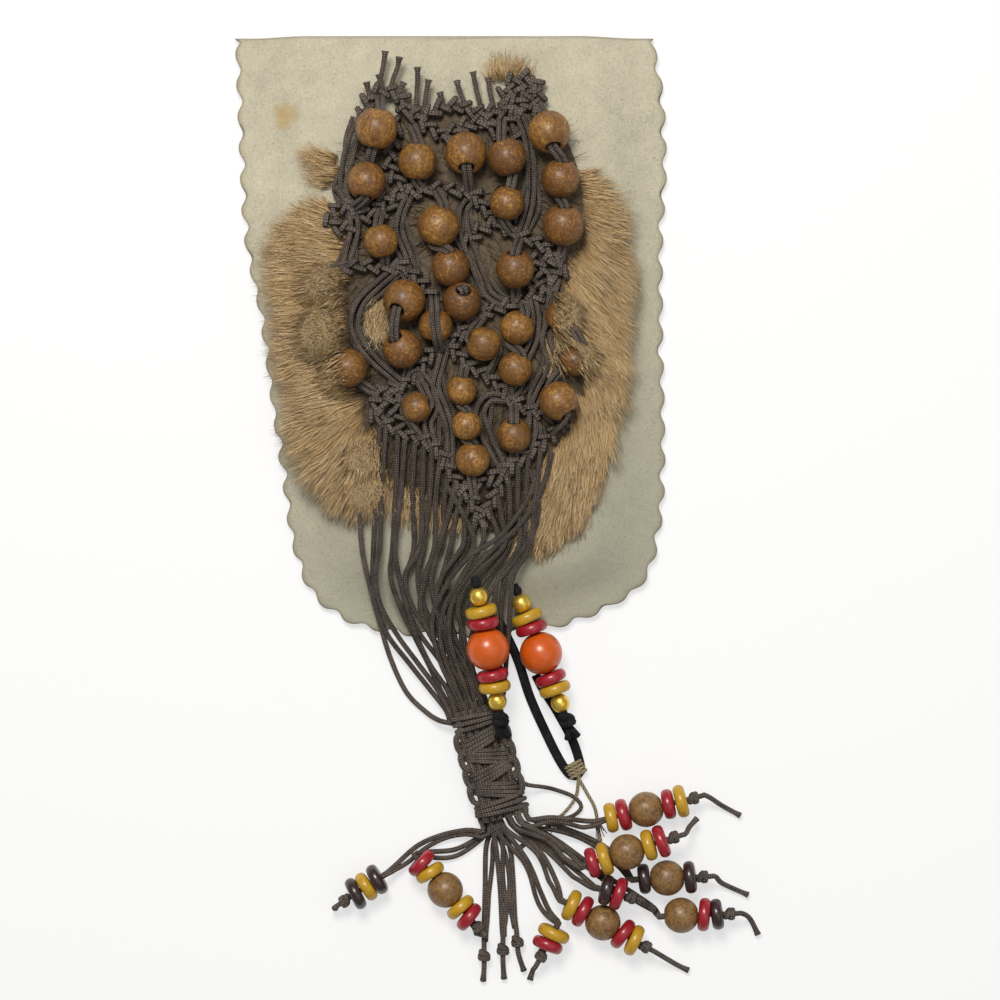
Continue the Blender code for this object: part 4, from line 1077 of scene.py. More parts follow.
def makePanel(name, node, under, lift, seed):
    generator = np.random.default_rng(seed)
    line = pouchOutline()
    mouth = line[0].y
    per = pouch["perScallop"]
    depths = pouch["depth"] * generator.uniform(*pouch["depths"], len(line) // per + 2)
    shape = Shape()
    starts = []
    ends = (0, len(line) - 1)
    for side in (0.0, pouch["thickness"]):
        rows, worn = [], []
        for distance in pouch["rows"]:
            for i, point in enumerate(line):
                notch = 0.0 if i in ends else (0.5 + 0.5 * cos(2 * pi * (i % per) / per)) ** 1.4
                notch *= depths[(i + per // 2) // per] * fade(distance, pouch["notchReach"])
                moved = movedIn(point, distance + notch, mouth)
                wave = (0.22 * sin(moved.x * 0.11 + seed) * sin(moved.y * 0.09 + 1.3)
                        + 0.10 * sin(moved.x * 0.31 + moved.y * 0.27))
                curl = pouch["curl"] * fade(distance, pouch["curlReach"]) * sin(i * 0.31 + seed)
                height = under + panelHeight(distance, lift) + side
                height += (wave + curl) if lift else 0.3 * abs(wave)
                soft = pouch["soft"] * fade(distance, pouch["softReach"])
                height += -soft if side else soft
                rows.append(Vector((moved.x, moved.y, height)) * mm)
                worn.append(max(fade(distance, pouch["wornReach"]),
                                pouch["wornMouth"] if i in ends else 0.0))
        starts.append(shape.addPoints(rows, {"rim": worn}))
    count, last = len(line), len(pouch["rows"]) - 1
    for start in starts:
        for r in range(last):
            for i in range(count - 1):
                a = start + r * count + i
                shape.addFace(a, a + 1, a + count + 1, a + count)
        shape.addFace(*range(start + last * count, start + (last + 1) * count))
    low, high = starts
    rim = list(range(count))
    rim += [(r + 1) * count - 1 for r in range(1, last + 1)]
    rim += [r * count for r in range(last, 0, -1)]
    for here, there in zip(rim, rim[1:] + rim[:1]):
        shape.addFace(low + here, low + there, high + there, high + here)
    made = shape.make(name, suede)
    settle(made, "suede", node)


makePanel("backSuede", "back_panel", 0.0, 0.0, 4)
makePanel("frontSuede", "front_panel", pouch["marginUnder"], pouch["rise"], 9)
print("pouch cut and glued")


# Fur. Flow of the hair in plan: picture point, direction in degrees (0 right, 90 up), length in mm.
furFlow = [
    (300, 225, 172, 12), (340, 215, 150, 10), (290, 258, 176, 12), (350, 265, 178, 13),
    (300, 330, 184, 12), (345, 330, 188, 13), (305, 390, 190, 11), (345, 400, 196, 14),
    (320, 440, 206, 13), (352, 450, 226, 14), (330, 480, 228, 12), (350, 495, 246, 11),
    (368, 486, 262, 11), (330, 170, 165, 9), (345, 176, 175, 9), (373, 440, 264, 9),
    (375, 480, 266, 9), (372, 300, 255, 7), (376, 330, 275, 7), (548, 345, -80, 8),
    (428, 500, -85, 6), (495, 84, 95, 7), (470, 84, 115, 6), (525, 80, 65, 6),
    (585, 170, 5, 8), (590, 200, -18, 12), (612, 230, -24, 10), (580, 250, -44, 14),
    (614, 300, -36, 9), (600, 300, -52, 13), (560, 320, -40, 11), (570, 350, -30, 12),
    (614, 350, -54, 10), (600, 380, -72, 13), (612, 400, -66, 9), (600, 430, -84, 12),
    (590, 450, -98, 13), (570, 480, -108, 13), (590, 490, -94, 11), (545, 500, -118, 13),
    (560, 530, -108, 10), (580, 520, -90, 8), (530, 540, -112, 9),
]
sideFur = {"droop": 4.8, "tuft": 4.2, "spread": 0.22, "lift": 0.32, "radius": 0.104,
           "finish": furHair}
furPatches = {
    "furLeftHigh": {
        **sideFur, "locks": 9500, "seed": 3, "spread": 0.20,
        "edges": [[(342, 210), (322, 216), (304, 230), (294, 250), (297, 290), (300, 330), (304, 352),
                   (352, 352), (352, 310), (350, 300), (356, 268), (352, 230)]]},
    "furLeftLow": {
        **sideFur, "locks": 8900, "seed": 13,
        "edges": [[(302, 340), (306, 380), (314, 430), (328, 468), (346, 492), (366, 500), (376, 470),
                   (368, 430), (366, 402), (352, 382), (352, 340)]]},
    "furRightHigh": {
        **sideFur, "locks": 9000, "seed": 8, "lift": 0.34,
        "edges": [[(570, 164), (590, 182), (604, 212), (613, 256), (617, 310), (616, 362), (574, 362),
                   (572, 350), (556, 334), (552, 300), (564, 268), (580, 240), (582, 200)]]},
    "furRightLow": {
        **sideFur, "locks": 9500, "seed": 18,
        "edges": [[(617, 350), (614, 390), (606, 440), (592, 488), (570, 524), (546, 538), (520, 536),
                   (528, 500), (540, 462), (560, 436), (576, 410), (582, 380), (574, 350)]]},
    # the sparse hair under the net wears the darker copy of the fur: painted shade
    "furMiddle": {
        "locks": 2300, "seed": 5, "droop": 2.0, "tuft": 2.6, "spread": 0.6, "lift": 0.10,
        "radius": 0.10, "ceiling": 10.9, "finish": shadedHairFinish,
        "edges": [[(372, 122), (420, 126), (470, 130), (530, 120), (560, 130), (572, 180), (562, 260),
                   (554, 330), (558, 400), (540, 460), (500, 530), (440, 520), (400, 484), (384, 440),
                   (372, 380), (354, 300), (352, 210), (360, 150)]]},
    "furTufts": {
        "locks": 3200, "seed": 6, "droop": 1.8, "tuft": 2.6, "spread": 0.34, "lift": 0.28,
        "radius": 0.10, "finish": furHair,
        "edges": [[(318, 158), (340, 154), (346, 182), (326, 188)],
                  [(356, 428), (376, 424), (384, 456), (380, 494), (362, 500)],
                  [(364, 288), (384, 284), (386, 330), (370, 336)],
                  [(540, 326), (556, 330), (556, 364), (542, 360)],
                  [(374, 466), (400, 478), (432, 494), (464, 514), (440, 524), (404, 508), (378, 488)],
                  [(482, 84), (488, 74), (516, 70), (528, 84)]]},
}
furSizes = {"skinHeight": 9.0, "grid": 2.0}
# A lock's rings as (share of its length, share of its radius), and how far its tip leans.
lockShape = {"rings": ((0.0, 1.0), (0.35, 0.95), (0.72, 0.7)), "lean": 1.1 * mm}


def makeLock(radius):
    # one tapered lock of hair along Z, one unit long, a little bent, that ends in a point
    shape = Shape()
    points, along = [], []
    for share, thick in lockShape["rings"]:
        bend = Vector((lockShape["lean"] * share * share, 0, share))
        points += ringOf(bend, Vector((1, 0, 0)), Vector((0, 1, 0)), radius * thick, 3)
        along += [share] * 3
    shape.addPoints(points + [Vector((lockShape["lean"], 0, 1))], {"along": along + [1.0]})
    shape.addFace(2, 1, 0)
    for j in range(3):
        k = (j + 1) % 3
        shape.addFace(j, k, k + 3, j + 3)
        shape.addFace(j + 3, k + 3, k + 6, j + 6)
        shape.addFace(j + 6, k + 6, 9)
    return shape.make("lock")


def inside(x, y, edge):
    hit = False
    for (x0, y0), (x1, y1) in zip(edge, edge[1:] + edge[:1]):
        if (y0 > y) != (y1 > y) and x < (x1 - x0) * (y - y0) / (y1 - y0) + x0:
            hit = not hit
    return hit


def flowAt(x, y, lift):
    # the hair's direction and length at a picture point, from the nearest entries
    pull = Vector((0, 0))
    reach = total = 0.0
    for fx, fy, angle, length in furFlow:
        weight = 1 / ((x - fx) ** 2 + (y - fy) ** 2 + 60) ** 1.6
        pull += Vector((cos(radians(angle)), sin(radians(angle)))) * weight
        reach += length * weight
        total += weight
    pull.normalize()
    return (pull.x, pull.y, lift), reach / total * mm


def makeSkin(name, patch):
    # the patch of hide that hair grows on, as a grid that knows the hair's flow
    step = furSizes["grid"] / planStep * mm
    xs, ys = zip(*(point for edge in patch["edges"] for point in edge))
    left, top = min(xs), min(ys)
    points, faces, flows, reaches, known = [], [], [], [], {}

    def corner(i, j):
        if (i, j) not in known:
            known[i, j] = len(points)
            x, y = left + i * step, top + j * step
            points.append(tuple(plan(x, y, furSizes["skinHeight"])))
            flow, reach = flowAt(x, y, patch["lift"])
            flows.append(flow)
            reaches.append(reach)
        return known[i, j]

    for i in range(int((max(xs) - left) / step) + 1):
        for j in range(int((max(ys) - top) / step) + 1):
            middle = (left + (i + 0.5) * step, top + (j + 0.5) * step)
            if any(inside(*middle, edge) for edge in patch["edges"]):
                faces.append((corner(i, j), corner(i, j + 1), corner(i + 1, j + 1), corner(i + 1, j)))
    mesh = bpy.data.meshes.new(name)
    mesh.from_pydata(points, [], faces)
    mesh.attributes.new("flow", "FLOAT_VECTOR", "POINT").data.foreach_set(
        "vector", np.array(flows, np.float32).ravel())
    mesh.attributes.new("reach", "FLOAT", "POINT").data.foreach_set(
        "value", np.array(reaches, np.float32))
    area = len(faces) * (furSizes["grid"] * mm) ** 2
    return stand(name, mesh), area


# Beads that the hair lies over: plan point, centre height and radius in mm, share of the hairs.
# Hairs within reach, in radii, rise from the hide to above the bead; the others stay below it.
comb = {
    "beads": [(326, 288, 13.9, 4.7, 0.3), (326, 335, 15.0, 5.8, 0.22), (560, 317, 13.9, 4.7, 0.2),
              (574, 362, 13.9, 4.7, 0.2), (349, 369, 15.0, 5.8, 0.06), (366, 462, 8.5, 5.0, 0.55),
              (366, 490, 8.0, 5.0, 0.55)],
    "reach": 1.6, "steep": 3.0, "hideTop": 9.5 * mm, "above": 0.5, "cover": 1.05,
    "below": 10.2 * mm, "shuffle": 7.31, "floor": 3.0, "pouchTop": 8.4, "pouchHalf": 40,
    "pouchFoot": -62, "ragged": 0.8, "raggedShuffle": 3.7,
}


def combOver(made, ceiling):
    # lifts a share of the hairs over the beads that they cover, and keeps all above the suede
    mesh = made.data
    places = np.zeros(len(mesh.vertices) * 3)
    mesh.vertices.foreach_get("co", places)
    places = places.reshape(-1, 3)
    tones = np.zeros(len(mesh.vertices), np.float32)
    mesh.attributes["tone"].data.foreach_get("value", tones)
    hideTop = comb["hideTop"]
    for x, y, height, radius, share in comb["beads"]:
        centre = plan(x, y, height)
        flat = np.hypot(places[:, 0] - centre.x, places[:, 1] - centre.y) / (radius * mm)
        near = (flat < comb["reach"]) & (tones * comb["shuffle"] % 1.0 < share)
        fall = np.clip(1.0 - (flat / comb["reach"]) ** comb["steep"], 0, 1)
        dome = hideTop + (centre.z + (radius + comb["above"]) * mm - hideTop) * fall
        places[near, 2] = np.maximum(places[near, 2], dome[near])
        under = (flat < comb["cover"]) & ~near
        places[under, 2] = np.minimum(places[under, 2], comb["below"])
    x, y = places[:, 0] / mm, places[:, 1] / mm
    floor = np.full(len(places), comb["floor"])
    floor[(np.abs(x) < comb["pouchHalf"]) & (y > comb["pouchFoot"])] = comb["pouchTop"]
    places[:, 2] = np.maximum(places[:, 2], floor * mm)
    if ceiling:
        top = ceiling - comb["ragged"] * (tones * comb["raggedShuffle"] % 1.0)
        places[:, 2] = np.minimum(places[:, 2], top * mm)
    mesh.vertices.foreach_set("co", places.ravel())
    mesh.update()


hide = {"edge": [(500, 108), (540, 112), (566, 140), (582, 190), (592, 290), (594, 400), (572, 460),
                 (546, 512), (508, 530), (462, 524), (412, 500), (372, 480), (344, 452), (328, 410),
                 (316, 386), (310, 342), (314, 266), (334, 224), (350, 190), (360, 150), (376, 122),
                 (410, 116), (454, 112), (500, 108)],
        "height": 8.0, "thickness": 1.2 * mm}


def makeHide():
    shape = Shape()
    line = planLine(hide["edge"], 3 * mm, hide["height"])[:-1]
    shape.addRings([line, [p + Vector((0, 0, hide["thickness"])) for p in line]])
    settle(shape.make("furHideSkin", furHide), "fur", "fur_pelt")


def makeFur():
    for name, patch in furPatches.items():
        skin, area = makeSkin(name + "Skin", patch)
        lock = makeLock(patch["radius"] * mm)
        made = grow(name, skin, hairTree,
                    {"Lock": lock, "Density": patch["locks"] / area, "Spread": patch["spread"],
                     "Droop": patch["droop"] * mm, "Tuft": patch["tuft"] * mm,
                     "Seed": patch["seed"], "Material": patch["finish"]}, lock)
        combOver(made, patch.get("ceiling"))
        settle(made, "fur")
        print(name, "has", len(made.data.polygons), "faces")


makeHide()
makeFur()
print("fur combed")


# Net
netHeight = 11.25
netBands = [
    [(364, 116), (371, 98), (388, 92), (402, 100), (412, 114), (428, 128), (448, 138)],
    [(402, 112), (424, 116), (442, 108), (462, 108), (482, 114), (506, 108), (522, 98), (534, 86)],
    [(446, 136), (466, 126), (486, 122), (504, 120), (518, 110)],
    [(506, 108), (504, 94), (512, 82), (530, 80), (538, 92), (536, 108), (520, 112)],
    [(512, 92), (536, 96)],
    [(484, 122), (496, 134), (516, 140)],
    [(398, 124), (393, 146), (391, 168), (402, 186), (422, 194)],
    [(350, 206), (372, 204), (392, 196), (412, 194), (434, 190), (458, 192), (476, 196)],
    [(350, 206), (336, 210), (330, 220), (340, 230), (352, 228)],
    [(350, 206), (366, 218), (384, 212), (400, 196)],
    [(474, 196), (484, 208), (498, 222), (512, 234), (528, 240), (546, 248), (560, 262)],
    [(468, 242), (480, 230), (498, 224)],
    [(532, 262), (562, 262), (558, 276), (532, 274), (534, 288), (552, 286)],
    [(346, 268), (364, 266), (384, 268), (402, 266)],
    [(402, 266), (420, 282), (432, 298), (452, 312), (470, 318), (486, 312)],
    [(486, 312), (506, 306), (526, 300), (544, 294), (552, 284)],
    [(486, 312), (470, 328), (450, 342), (434, 352), (418, 372), (402, 386), (376, 392)],
    [(446, 344), (468, 364), (486, 376), (502, 388), (510, 400)],
    [(376, 392), (404, 396), (404, 404), (376, 404), (376, 416), (406, 414)],
    [(510, 400), (530, 410), (548, 416), (564, 420)],
    [(376, 416), (394, 428), (422, 440), (440, 452), (450, 470), (462, 488), (474, 502), (480, 524)],
    [(564, 420), (548, 438), (524, 456), (508, 468), (500, 486), (490, 504), (480, 524)],
    [(508, 468), (492, 476), (476, 486), (462, 488)],
]
netPairs = [
    [(516, 110), (526, 134), (530, 160), (531, 188), (528, 212), (520, 236)],
    [(364, 116), (354, 140), (347, 166), (344, 190), (350, 206)],
    [(352, 206), (355, 230), (350, 252), (346, 268)],
    [(410, 196), (402, 214), (400, 234), (408, 254), (416, 276)],
    [(476, 196), (464, 210), (464, 232), (472, 254), (480, 276), (490, 296), (508, 306)],
    [(402, 266), (380, 284), (362, 302), (355, 322), (360, 342), (374, 360), (392, 376), (404, 386)],
    [(532, 298), (536, 320), (533, 342), (524, 362), (520, 384), (510, 400)],
    [(552, 286), (554, 312), (546, 340), (552, 366), (540, 392), (532, 410)],
    [(418, 372), (430, 388), (434, 408), (428, 424), (434, 448)],
    [(446, 346), (440, 368), (436, 388), (444, 410), (450, 432), (450, 470)],
    [(510, 400), (490, 398), (480, 412), (484, 430), (492, 448), (504, 470)],
    [(532, 412), (532, 430), (528, 452)],
]
netEnds = [
    [(376, 94), (381, 80), (384, 68), (386, 54)], [(390, 94), (394, 80), (398, 70), (400, 60)],
    [(370, 98), (367, 84)], [(384, 92), (379, 76)], [(398, 98), (404, 84)],
    [(416, 112), (417, 96), (418, 82), (418, 70)], [(424, 114), (426, 98), (429, 82)],
    [(444, 108), (440, 94)], [(466, 108), (460, 94), (457, 83)], [(482, 112), (477, 94), (473, 74)],
    [(494, 110), (490, 94), (488, 80)], [(348, 206), (342, 196), (336, 188)],
]
# Beads: plan point, radius, tone from dark 0 to light 1, the mouth that shows as (x, y, z), and
# for one that is part of the net's own solid its height
netBeads = {
    "01": ((377, 132), 6.0, 0.72, (0.2, 0.95, 0.1)), "02": ((417, 164), 5.5, 0.66, (0.1, 0.9, 0.1)),
    "03": ((367, 184), 5.5, 0.5, (0.1, 0.9, -0.2)), "04": ((465, 156), 6.0, 0.66, (0.05, -0.84, 0.54)),
    "05": ((506, 160), 5.5, 0.22, (-0.3, 0.9, 0.1)), "06": ((548, 135), 6.0, 0.78, (0.2, -0.86, 0.47)),
    "07": ((559, 181), 5.5, 0.34, (0.1, 0.95, 0.25)), "08": ((506, 206), 4.9, 0.5, (0.2, 0.9, 0.1)),
    "09": ((562, 227), 6.0, 0.36, (0.05, 0.93, 0.36)), "10": ((438, 228), 6.0, 0.78, (0.3, 0.9, 0.12)),
    "11": ((381, 243), 4.9, 0.66, (-0.2, 0.95, 0.1)), "12": ((450, 269), 5.5, 0.3, (-0.1, 0.92, 0.38)),
    "13": ((514, 271), 5.5, 0.34, (0.0, 0.88, 0.46)),
    "14": ((462, 303), 5.5, 0.05, (0.12, 0.62, 0.78), 15.0),
    "15": ((404, 302), 6.0, 0.5, (-0.38, -0.56, 0.72)),
    "16": ((436, 327), 4.9, 0.5, (0.3, 0.95, 0.0), 14.6),
    "17": ((402, 350), 5.5, 0.42, (-0.42, 0.62, 0.66)),
    "18": ((326, 335), 5.5, 0.42, (-0.5, 0.8, 0.3)), "19": ((349, 369), 5.5, 0.46, (-0.6, 0.75, 0.28)),
    "20": ((326, 288), 4.3, 0.5, (-0.3, 0.9, 0.2), 13.85),
    "21": ((517, 329), 4.9, 0.72, (0.5, 0.8, 0.2), 14.4),
    "22": ((483, 345), 4.9, 0.72, (-0.9, 0.3, 0.1)),
    "23": ((515, 370), 4.9, 0.55, (0.4, 0.85, 0.2), 14.4),
    "24": ((560, 317), 4.3, 0.5, (0.6, -0.5, 0.3), 13.85),
    "25": ((574, 362), 4.3, 0.2, (0.8, 0.5, 0.2), 13.85),
    "26": ((557, 402), 5.5, 0.56, (0.5, -0.7, 0.2)),
    "27": ((417, 408), 4.3, 0.72, (0.9, 0.2, 0.1), 13.85),
    "28": ((461, 391), 4.3, 0.84, (0.1, 0.95, 0.15)), "29": ((466, 426), 4.3, 0.8, (0.1, 0.95, 0.15)),
    "30": ((472, 460), 4.9, 0.66, (0.1, 0.95, 0.1)),
    "31": ((514, 436), 4.9, 0.56, (0.0, 0.88, 0.44), 14.4),
}
strings = [
    ((380, 96), ["01", "03"], (352, 210)), ((412, 126), ["02"], (424, 192)),
    ((464, 124), ["04"], (470, 194)), ((502, 120), ["05", "08"], (514, 236)),
    ((536, 104), ["06", "07", "09"], (560, 264)), ((436, 190), ["10", "12", "14"], (462, 334)),
    ((382, 210), ["11"], (386, 268)), ((520, 238), ["13"], (516, 304)),
    ((402, 268), ["15", "17"], (402, 388)), ((348, 266), ["20", "18", "19"], (376, 394)),
    ((486, 312), ["22"], (488, 376)), ((522, 302), ["21", "23"], (510, 398)),
    ((556, 280), ["24", "25", "26"], (552, 434)), ((416, 374), ["27"], (424, 442)),
    ((466, 362), ["28", "29", "30"], (476, 504)), ((514, 402), ["31"], (514, 464)),
]
netSizes = {"beadLength": 0.9, "boreLarge": 2.15, "boreSmall": 1.8, "pitch": 1.85, "slant": 54.0,
            "lean": 6.0, "loose": 13.0, "stagger": 0.9, "wrap": (1.45 * mm, 0.85 * mm, 0.88 * mm),
            "apart": (0.15, 0.5, 0.3), "twist": 0.5, "pairRise": 0.4, "lowDrop": 0.9, "endRise": 0.9}
# The two cords that cross over bead 16, with heights
overBead = [(434, 298, 13.0), (435, 308, 19.0), (436, 327, 20.3), (438, 342, 18.0), (440, 352, 12.5)]


def beadCentre(name):
    spec = netBeads[name]
    if len(spec) > 4:
        return plan(*spec[0], spec[4])
    low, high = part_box("net_bead_" + name)
    return (low + high) / 2


def makeNetBeads():
    shape = Shape()
    for k, (name, spec) in enumerate(netBeads.items()):
        radius = spec[1] * mm
        axis = Vector(spec[3]).normalized()
        length = 2 * radius * netSizes["beadLength"]
        bore = netSizes["boreLarge" if spec[1] > 5 else "boreSmall"] * mm
        addTurned(shape, beadCentre(name), axis, roundOutline(radius, length, radians(63)),
                  0.031 * (k + 1), bore, sides=30, tone=spec[2])
    nodes = ["net_bead_" + name for name, spec in netBeads.items() if len(spec) < 5]
    settle(shape.make("netBeads", wood), "wood", *nodes)


def addPair(shape, path, apart=0.0, twist=0.0):
    # two cords side by side, bowed apart in the middle of their run
    ways = frames(path)
    for hand in (-1, 1):
        line = []
        for i, (point, (_, side, up)) in enumerate(zip(path, ways)):
            share = i / (len(path) - 1)
            out = cordRadius * 1.02 + apart * sin(pi * share)
            swing = twist * sin(2 * pi * share)
            line.append(point + side * (hand * out * cos(swing)) + up * (hand * out * sin(swing)))
        addCord(shape, line, cordRadius * 0.95, 9)


def makeBands():
    sizes = netSizes
    wrap = makeWrap("hitch", *sizes["wrap"], 12, 6)
    lines = [planLine(band, 1.0 * mm, netHeight) for band in netBands]
    bands = grow("netBands", makeLines("bandLines", lines), wrapTree,
                 {"Wrap": wrap, "Pitch": sizes["pitch"] * mm, "Stagger": sizes["stagger"] * mm,
                  "Slant": radians(sizes["slant"]), "Lean": radians(sizes["lean"]),
                  "Loose": radians(sizes["loose"]), "Seed": 4, "Material": cordFinish}, wrap)
    settle(bands, "cord", "macrame_net")
    print("bands have", len(bands.data.polygons), "faces")


def addString(shape, start, names, end):
    # a pair of cords from band to band, straight through the bores of its beads
    stops = [plan(*start, netHeight)]
    for name in names:
        centre, spec = beadCentre(name), netBeads[name]
        half = Vector(spec[3]).normalized() * (spec[1] * netSizes["beadLength"] * mm)
        first, second = centre + half, centre - half
        if (first - stops[-1]).length > (second - stops[-1]).length:
            first, second = second, first
        stops += [first, centre, second]
    stops.append(plan(*end, netHeight))
    addPair(shape, smoothLine(stops, 1.1 * mm))


def makeNetCords():
    sizes = netSizes
    shape = Shape()
    for k, pair in enumerate(netPairs):
        addPair(shape, planLine(pair, 1.1 * mm, netHeight + sizes["pairRise"]),
                sizes["apart"][k % 3] * mm, sizes["twist"] * (k % 2))
        for hand in (-1, 1):
            # a lower cord at each side, hardly seen
            low = [(x + hand * (7 + 4 * sin(i * 2 + k)), y + 3 * cos(i + k))
                   for i, (x, y) in enumerate(pair)]
            addCord(shape, planLine(low, 1.4 * mm, netHeight - sizes["lowDrop"]), cordRadius * 0.92, 7)
    for end in netEnds:
        points = [(x, y, netHeight + sizes["endRise"] * i) for i, (x, y) in enumerate(end)]
        addCord(shape, planLine(points, 1.0 * mm), cordRadius, 9, tail=0.55)
    for string in strings:
        addString(shape, *string)
    addPair(shape, planLine(overBead, 1.0 * mm))
    settle(shape.make("netCords", cordFinish), "cord")


makeNetBeads()
makeBands()
makeNetCords()
print("net knotted")


# Gathered cords and neck. Each cord: its plan point at the net's hem, its x at each row of
# heights, and its x at the neck.
gatherCords = [
    ((380, 420), (374, 372, 376, 388, 410, 428), 446), ((386, 424), (379, 376, 382, 397, 417, 436), 449),
    ((398, 430), (394, 392, 399, 412, 428, 441), 452), ((405, 434), (398, 396, 403, 418, 434, 446), 455),
    ((415, 438), (410, 405, 409, 423, 439, 449), 458), ((424, 441), (421, 410, 413, 427, 443, 453), 461),
    ((432, 446), (428, 417, 418, 431, 446, 456), 464), ((440, 452), (432, 422, 422, 434, 449, 459), 467),
    ((448, 466), (440, 428, 427, 438, 452, 462), 469), ((455, 477), (444, 433, 431, 441, 455, 465), 472),
    ((462, 487), (450, 438, 435, 444, 457, 468), 475), ((470, 497), (459, 444, 440, 447, 460, 470), 477),
    ((477, 511), (470, 451, 444, 450, 462, 473), 480), ((483, 516), (484, 459, 449, 453, 464, 475), 482),
    ((490, 504), (494, 468, 453, 456, 466, 477), 485), ((498, 490), (505, 479, 459, 459, 468, 479), 487),
    ((508, 470), (512, 487, 463, 461, 471, 482), 490), ((518, 461), (518, 499, 494, 490, 488, 492), 494),
    ((528, 454), (523, 507, 502, 500, 499, 500), 498), ((540, 445), (531, 514, 509, 508, 507, 505), 501),
]
gatherHeights = {545: 10.9, 575: 10.6, 605: 8.2, 635: 4.8, 665: 2.6, 690: 2.6}
gather = {"lifts": (0.0, 1.35, 0.5, 1.8), "sway": 4.5, "rimSway": 0.3, "step": 1.3 * mm,
          "midHeight": 11.2, "neckY": 712, "neckHeight": 3.4, "end": (4, 726, 4.2)}
# Cords that cross the others on their way from the net's hem, with heights
crossCords = [
    [(552, 452, 11.2), (541, 490, 11.8), (520, 524, 12.6), (494, 548, 12.9), (470, 574, 12.6),
     (452, 604, 10.4), (450, 640, 7.2), (462, 680, 5.6), (474, 712, 5.6), (478, 724, 4.6)],
    [(540, 464, 11.2), (527, 500, 12.2), (500, 536, 13.0), (470, 556, 13.2), (446, 586, 12.2),
     (432, 622, 8.6), (440, 662, 5.4), (458, 700, 5.4), (466, 724, 4.6)],
    [(446, 484, 11.2), (462, 512, 12.2), (474, 540, 12.8), (466, 572, 12.8), (446, 604, 10.2),
     (440, 640, 6.8), (454, 684, 5.8), (466, 712, 5.6), (470, 724, 4.6)],
    [(530, 470, 11.2), (538, 500, 11.6), (534, 530, 11.8), (518, 556, 12.2), (496, 584, 11.6),
     (478, 616, 9.4), (470, 650, 7.0), (478, 690, 5.8), (486, 712, 5.6), (490, 724, 4.6)],
]


def makeGather():
    ways = []
    firstRow = min(gatherHeights)
    for k, (start, xs, last) in enumerate(gatherCords):
        lift = gather["lifts"][k % 4]
        points = [(*start, netHeight), (start[0], start[1] + 8, netHeight + 0.4)]
        if start[1] < 500:
            points.append(((start[0] + xs[0]) / 2, (start[1] + firstRow) / 2,
                           gather["midHeight"] + lift * 0.4))
        for row, (x, (y, height)) in enumerate(zip(xs, gatherHeights.items())):
            sway = gather["sway"] * sin(1.9 * k + 1.4 * row) * (1 if 2 < k < 17 else gather["rimSway"])
            points.append((x + sway, y, height + lift))
        shift, endY, endHeight = gather["end"]
        points += [(last, gather["neckY"], gather["neckHeight"] + lift), (last + shift, endY, endHeight)]
        ways.append(points)
    shape = Shape()
    for way in ways + crossCords:
        addCord(shape, planLine(way, gather["step"]), cordRadius, 9)
    settle(shape.make("gatheredCords", shadedCord), "cord", "gathered_cords")


def makeNeck():
    # a core of cords; plain wraps at both ends, and square knots with side loops between them
    top, foot, along, across = neckFrame()
    shape = Shape()
    length = (foot - top).length / mm
    core, knots, loops = neck["core"], neck["knots"], neck["loops"]

    def spot(out, run, rise):
        return top + across * (out * mm) + along * (run * mm) + Vector((0, 0, rise * mm))

    def addTurn(run, halfWidth, halfHeight, slant, radius=neck["turnRadius"]):
        def spotAt(angle):
            outward = across * (cos(angle) * halfHeight) + Vector((0, 0, sin(angle) * halfWidth))
            centre = spot(halfWidth * cos(angle), run + slant * cos(angle), halfHeight * sin(angle))
            return centre, outward.normalized(), along

        addLoop(shape, spotAt, radius * mm, pi * (halfWidth + halfHeight), 26, 7)

    for column in range(core["columns"]):
        out = (column - (core["columns"] - 1) / 2) * core["pitch"]
        for rise in (-core["rise"], core["rise"]):
            line = [spot(out * 0.96, -1.0, rise), spot(out, length * 0.3, rise + 0.2 * sin(column)),
                    spot(out * 0.9, length * 0.7, rise), spot(out, length + 1.0, rise)]
            addCord(shape, smoothLine(line, 2 * mm), core["radius"])
    for (run, *others), (back, *more) in zip(neck["topTurns"], neck["footTurns"]):
        addTurn(run, *others)
        addTurn(length + back, *more)
    for k in range(knots["count"]):
        run = knots["first"] + knots["pitch"] * k
        slant = knots["slant"] if k % 2 else -knots["slant"]
        for strand in range(knots["strands"]):
            off = strand - (knots["strands"] - 1) / 2
            addTurn(run + off * knots["beside"], 6.6 - 0.25 * abs(off), 3.5 + 0.12 * (strand % 2),
                    slant * (1 + 0.12 * strand), knots["radius"])
        for hand in (-1, 1):
            for lane in range(2):
                out, rise, reach = loops["out"] + 0.3 * lane, loops["rise"] - 2.6 * lane, loops["reach"]
                line = [spot(hand * wide, run + way, height) for wide, way, height in (
                    (out * 0.86, -reach, rise), (out + 0.55, -2.0, rise), (out + 0.95, 0.0, rise - 0.3),
                    (out + 0.55, 2.0, rise), (out * 0.86, reach, rise))]
                addCord(shape, smoothLine(line, 0.9 * mm), loops["radius"])
    settle(shape.make("neckKnots", cordFinish), "cord", "neck_sinnet")


makeGather()
makeNeck()
print("cords gathered and neck knotted")


# Dangles
# Each dangle: its first and last point with heights; place along it counts in millimetres.
dangles = {"left": ((477, 586, 17.0), (499, 710, 11.5)), "right": ((518, 594, 8.7), (563, 710, 6.8))}
dangleOrder = ["gold", "yellow", "red", "orange", "red", "yellow", "gold"]
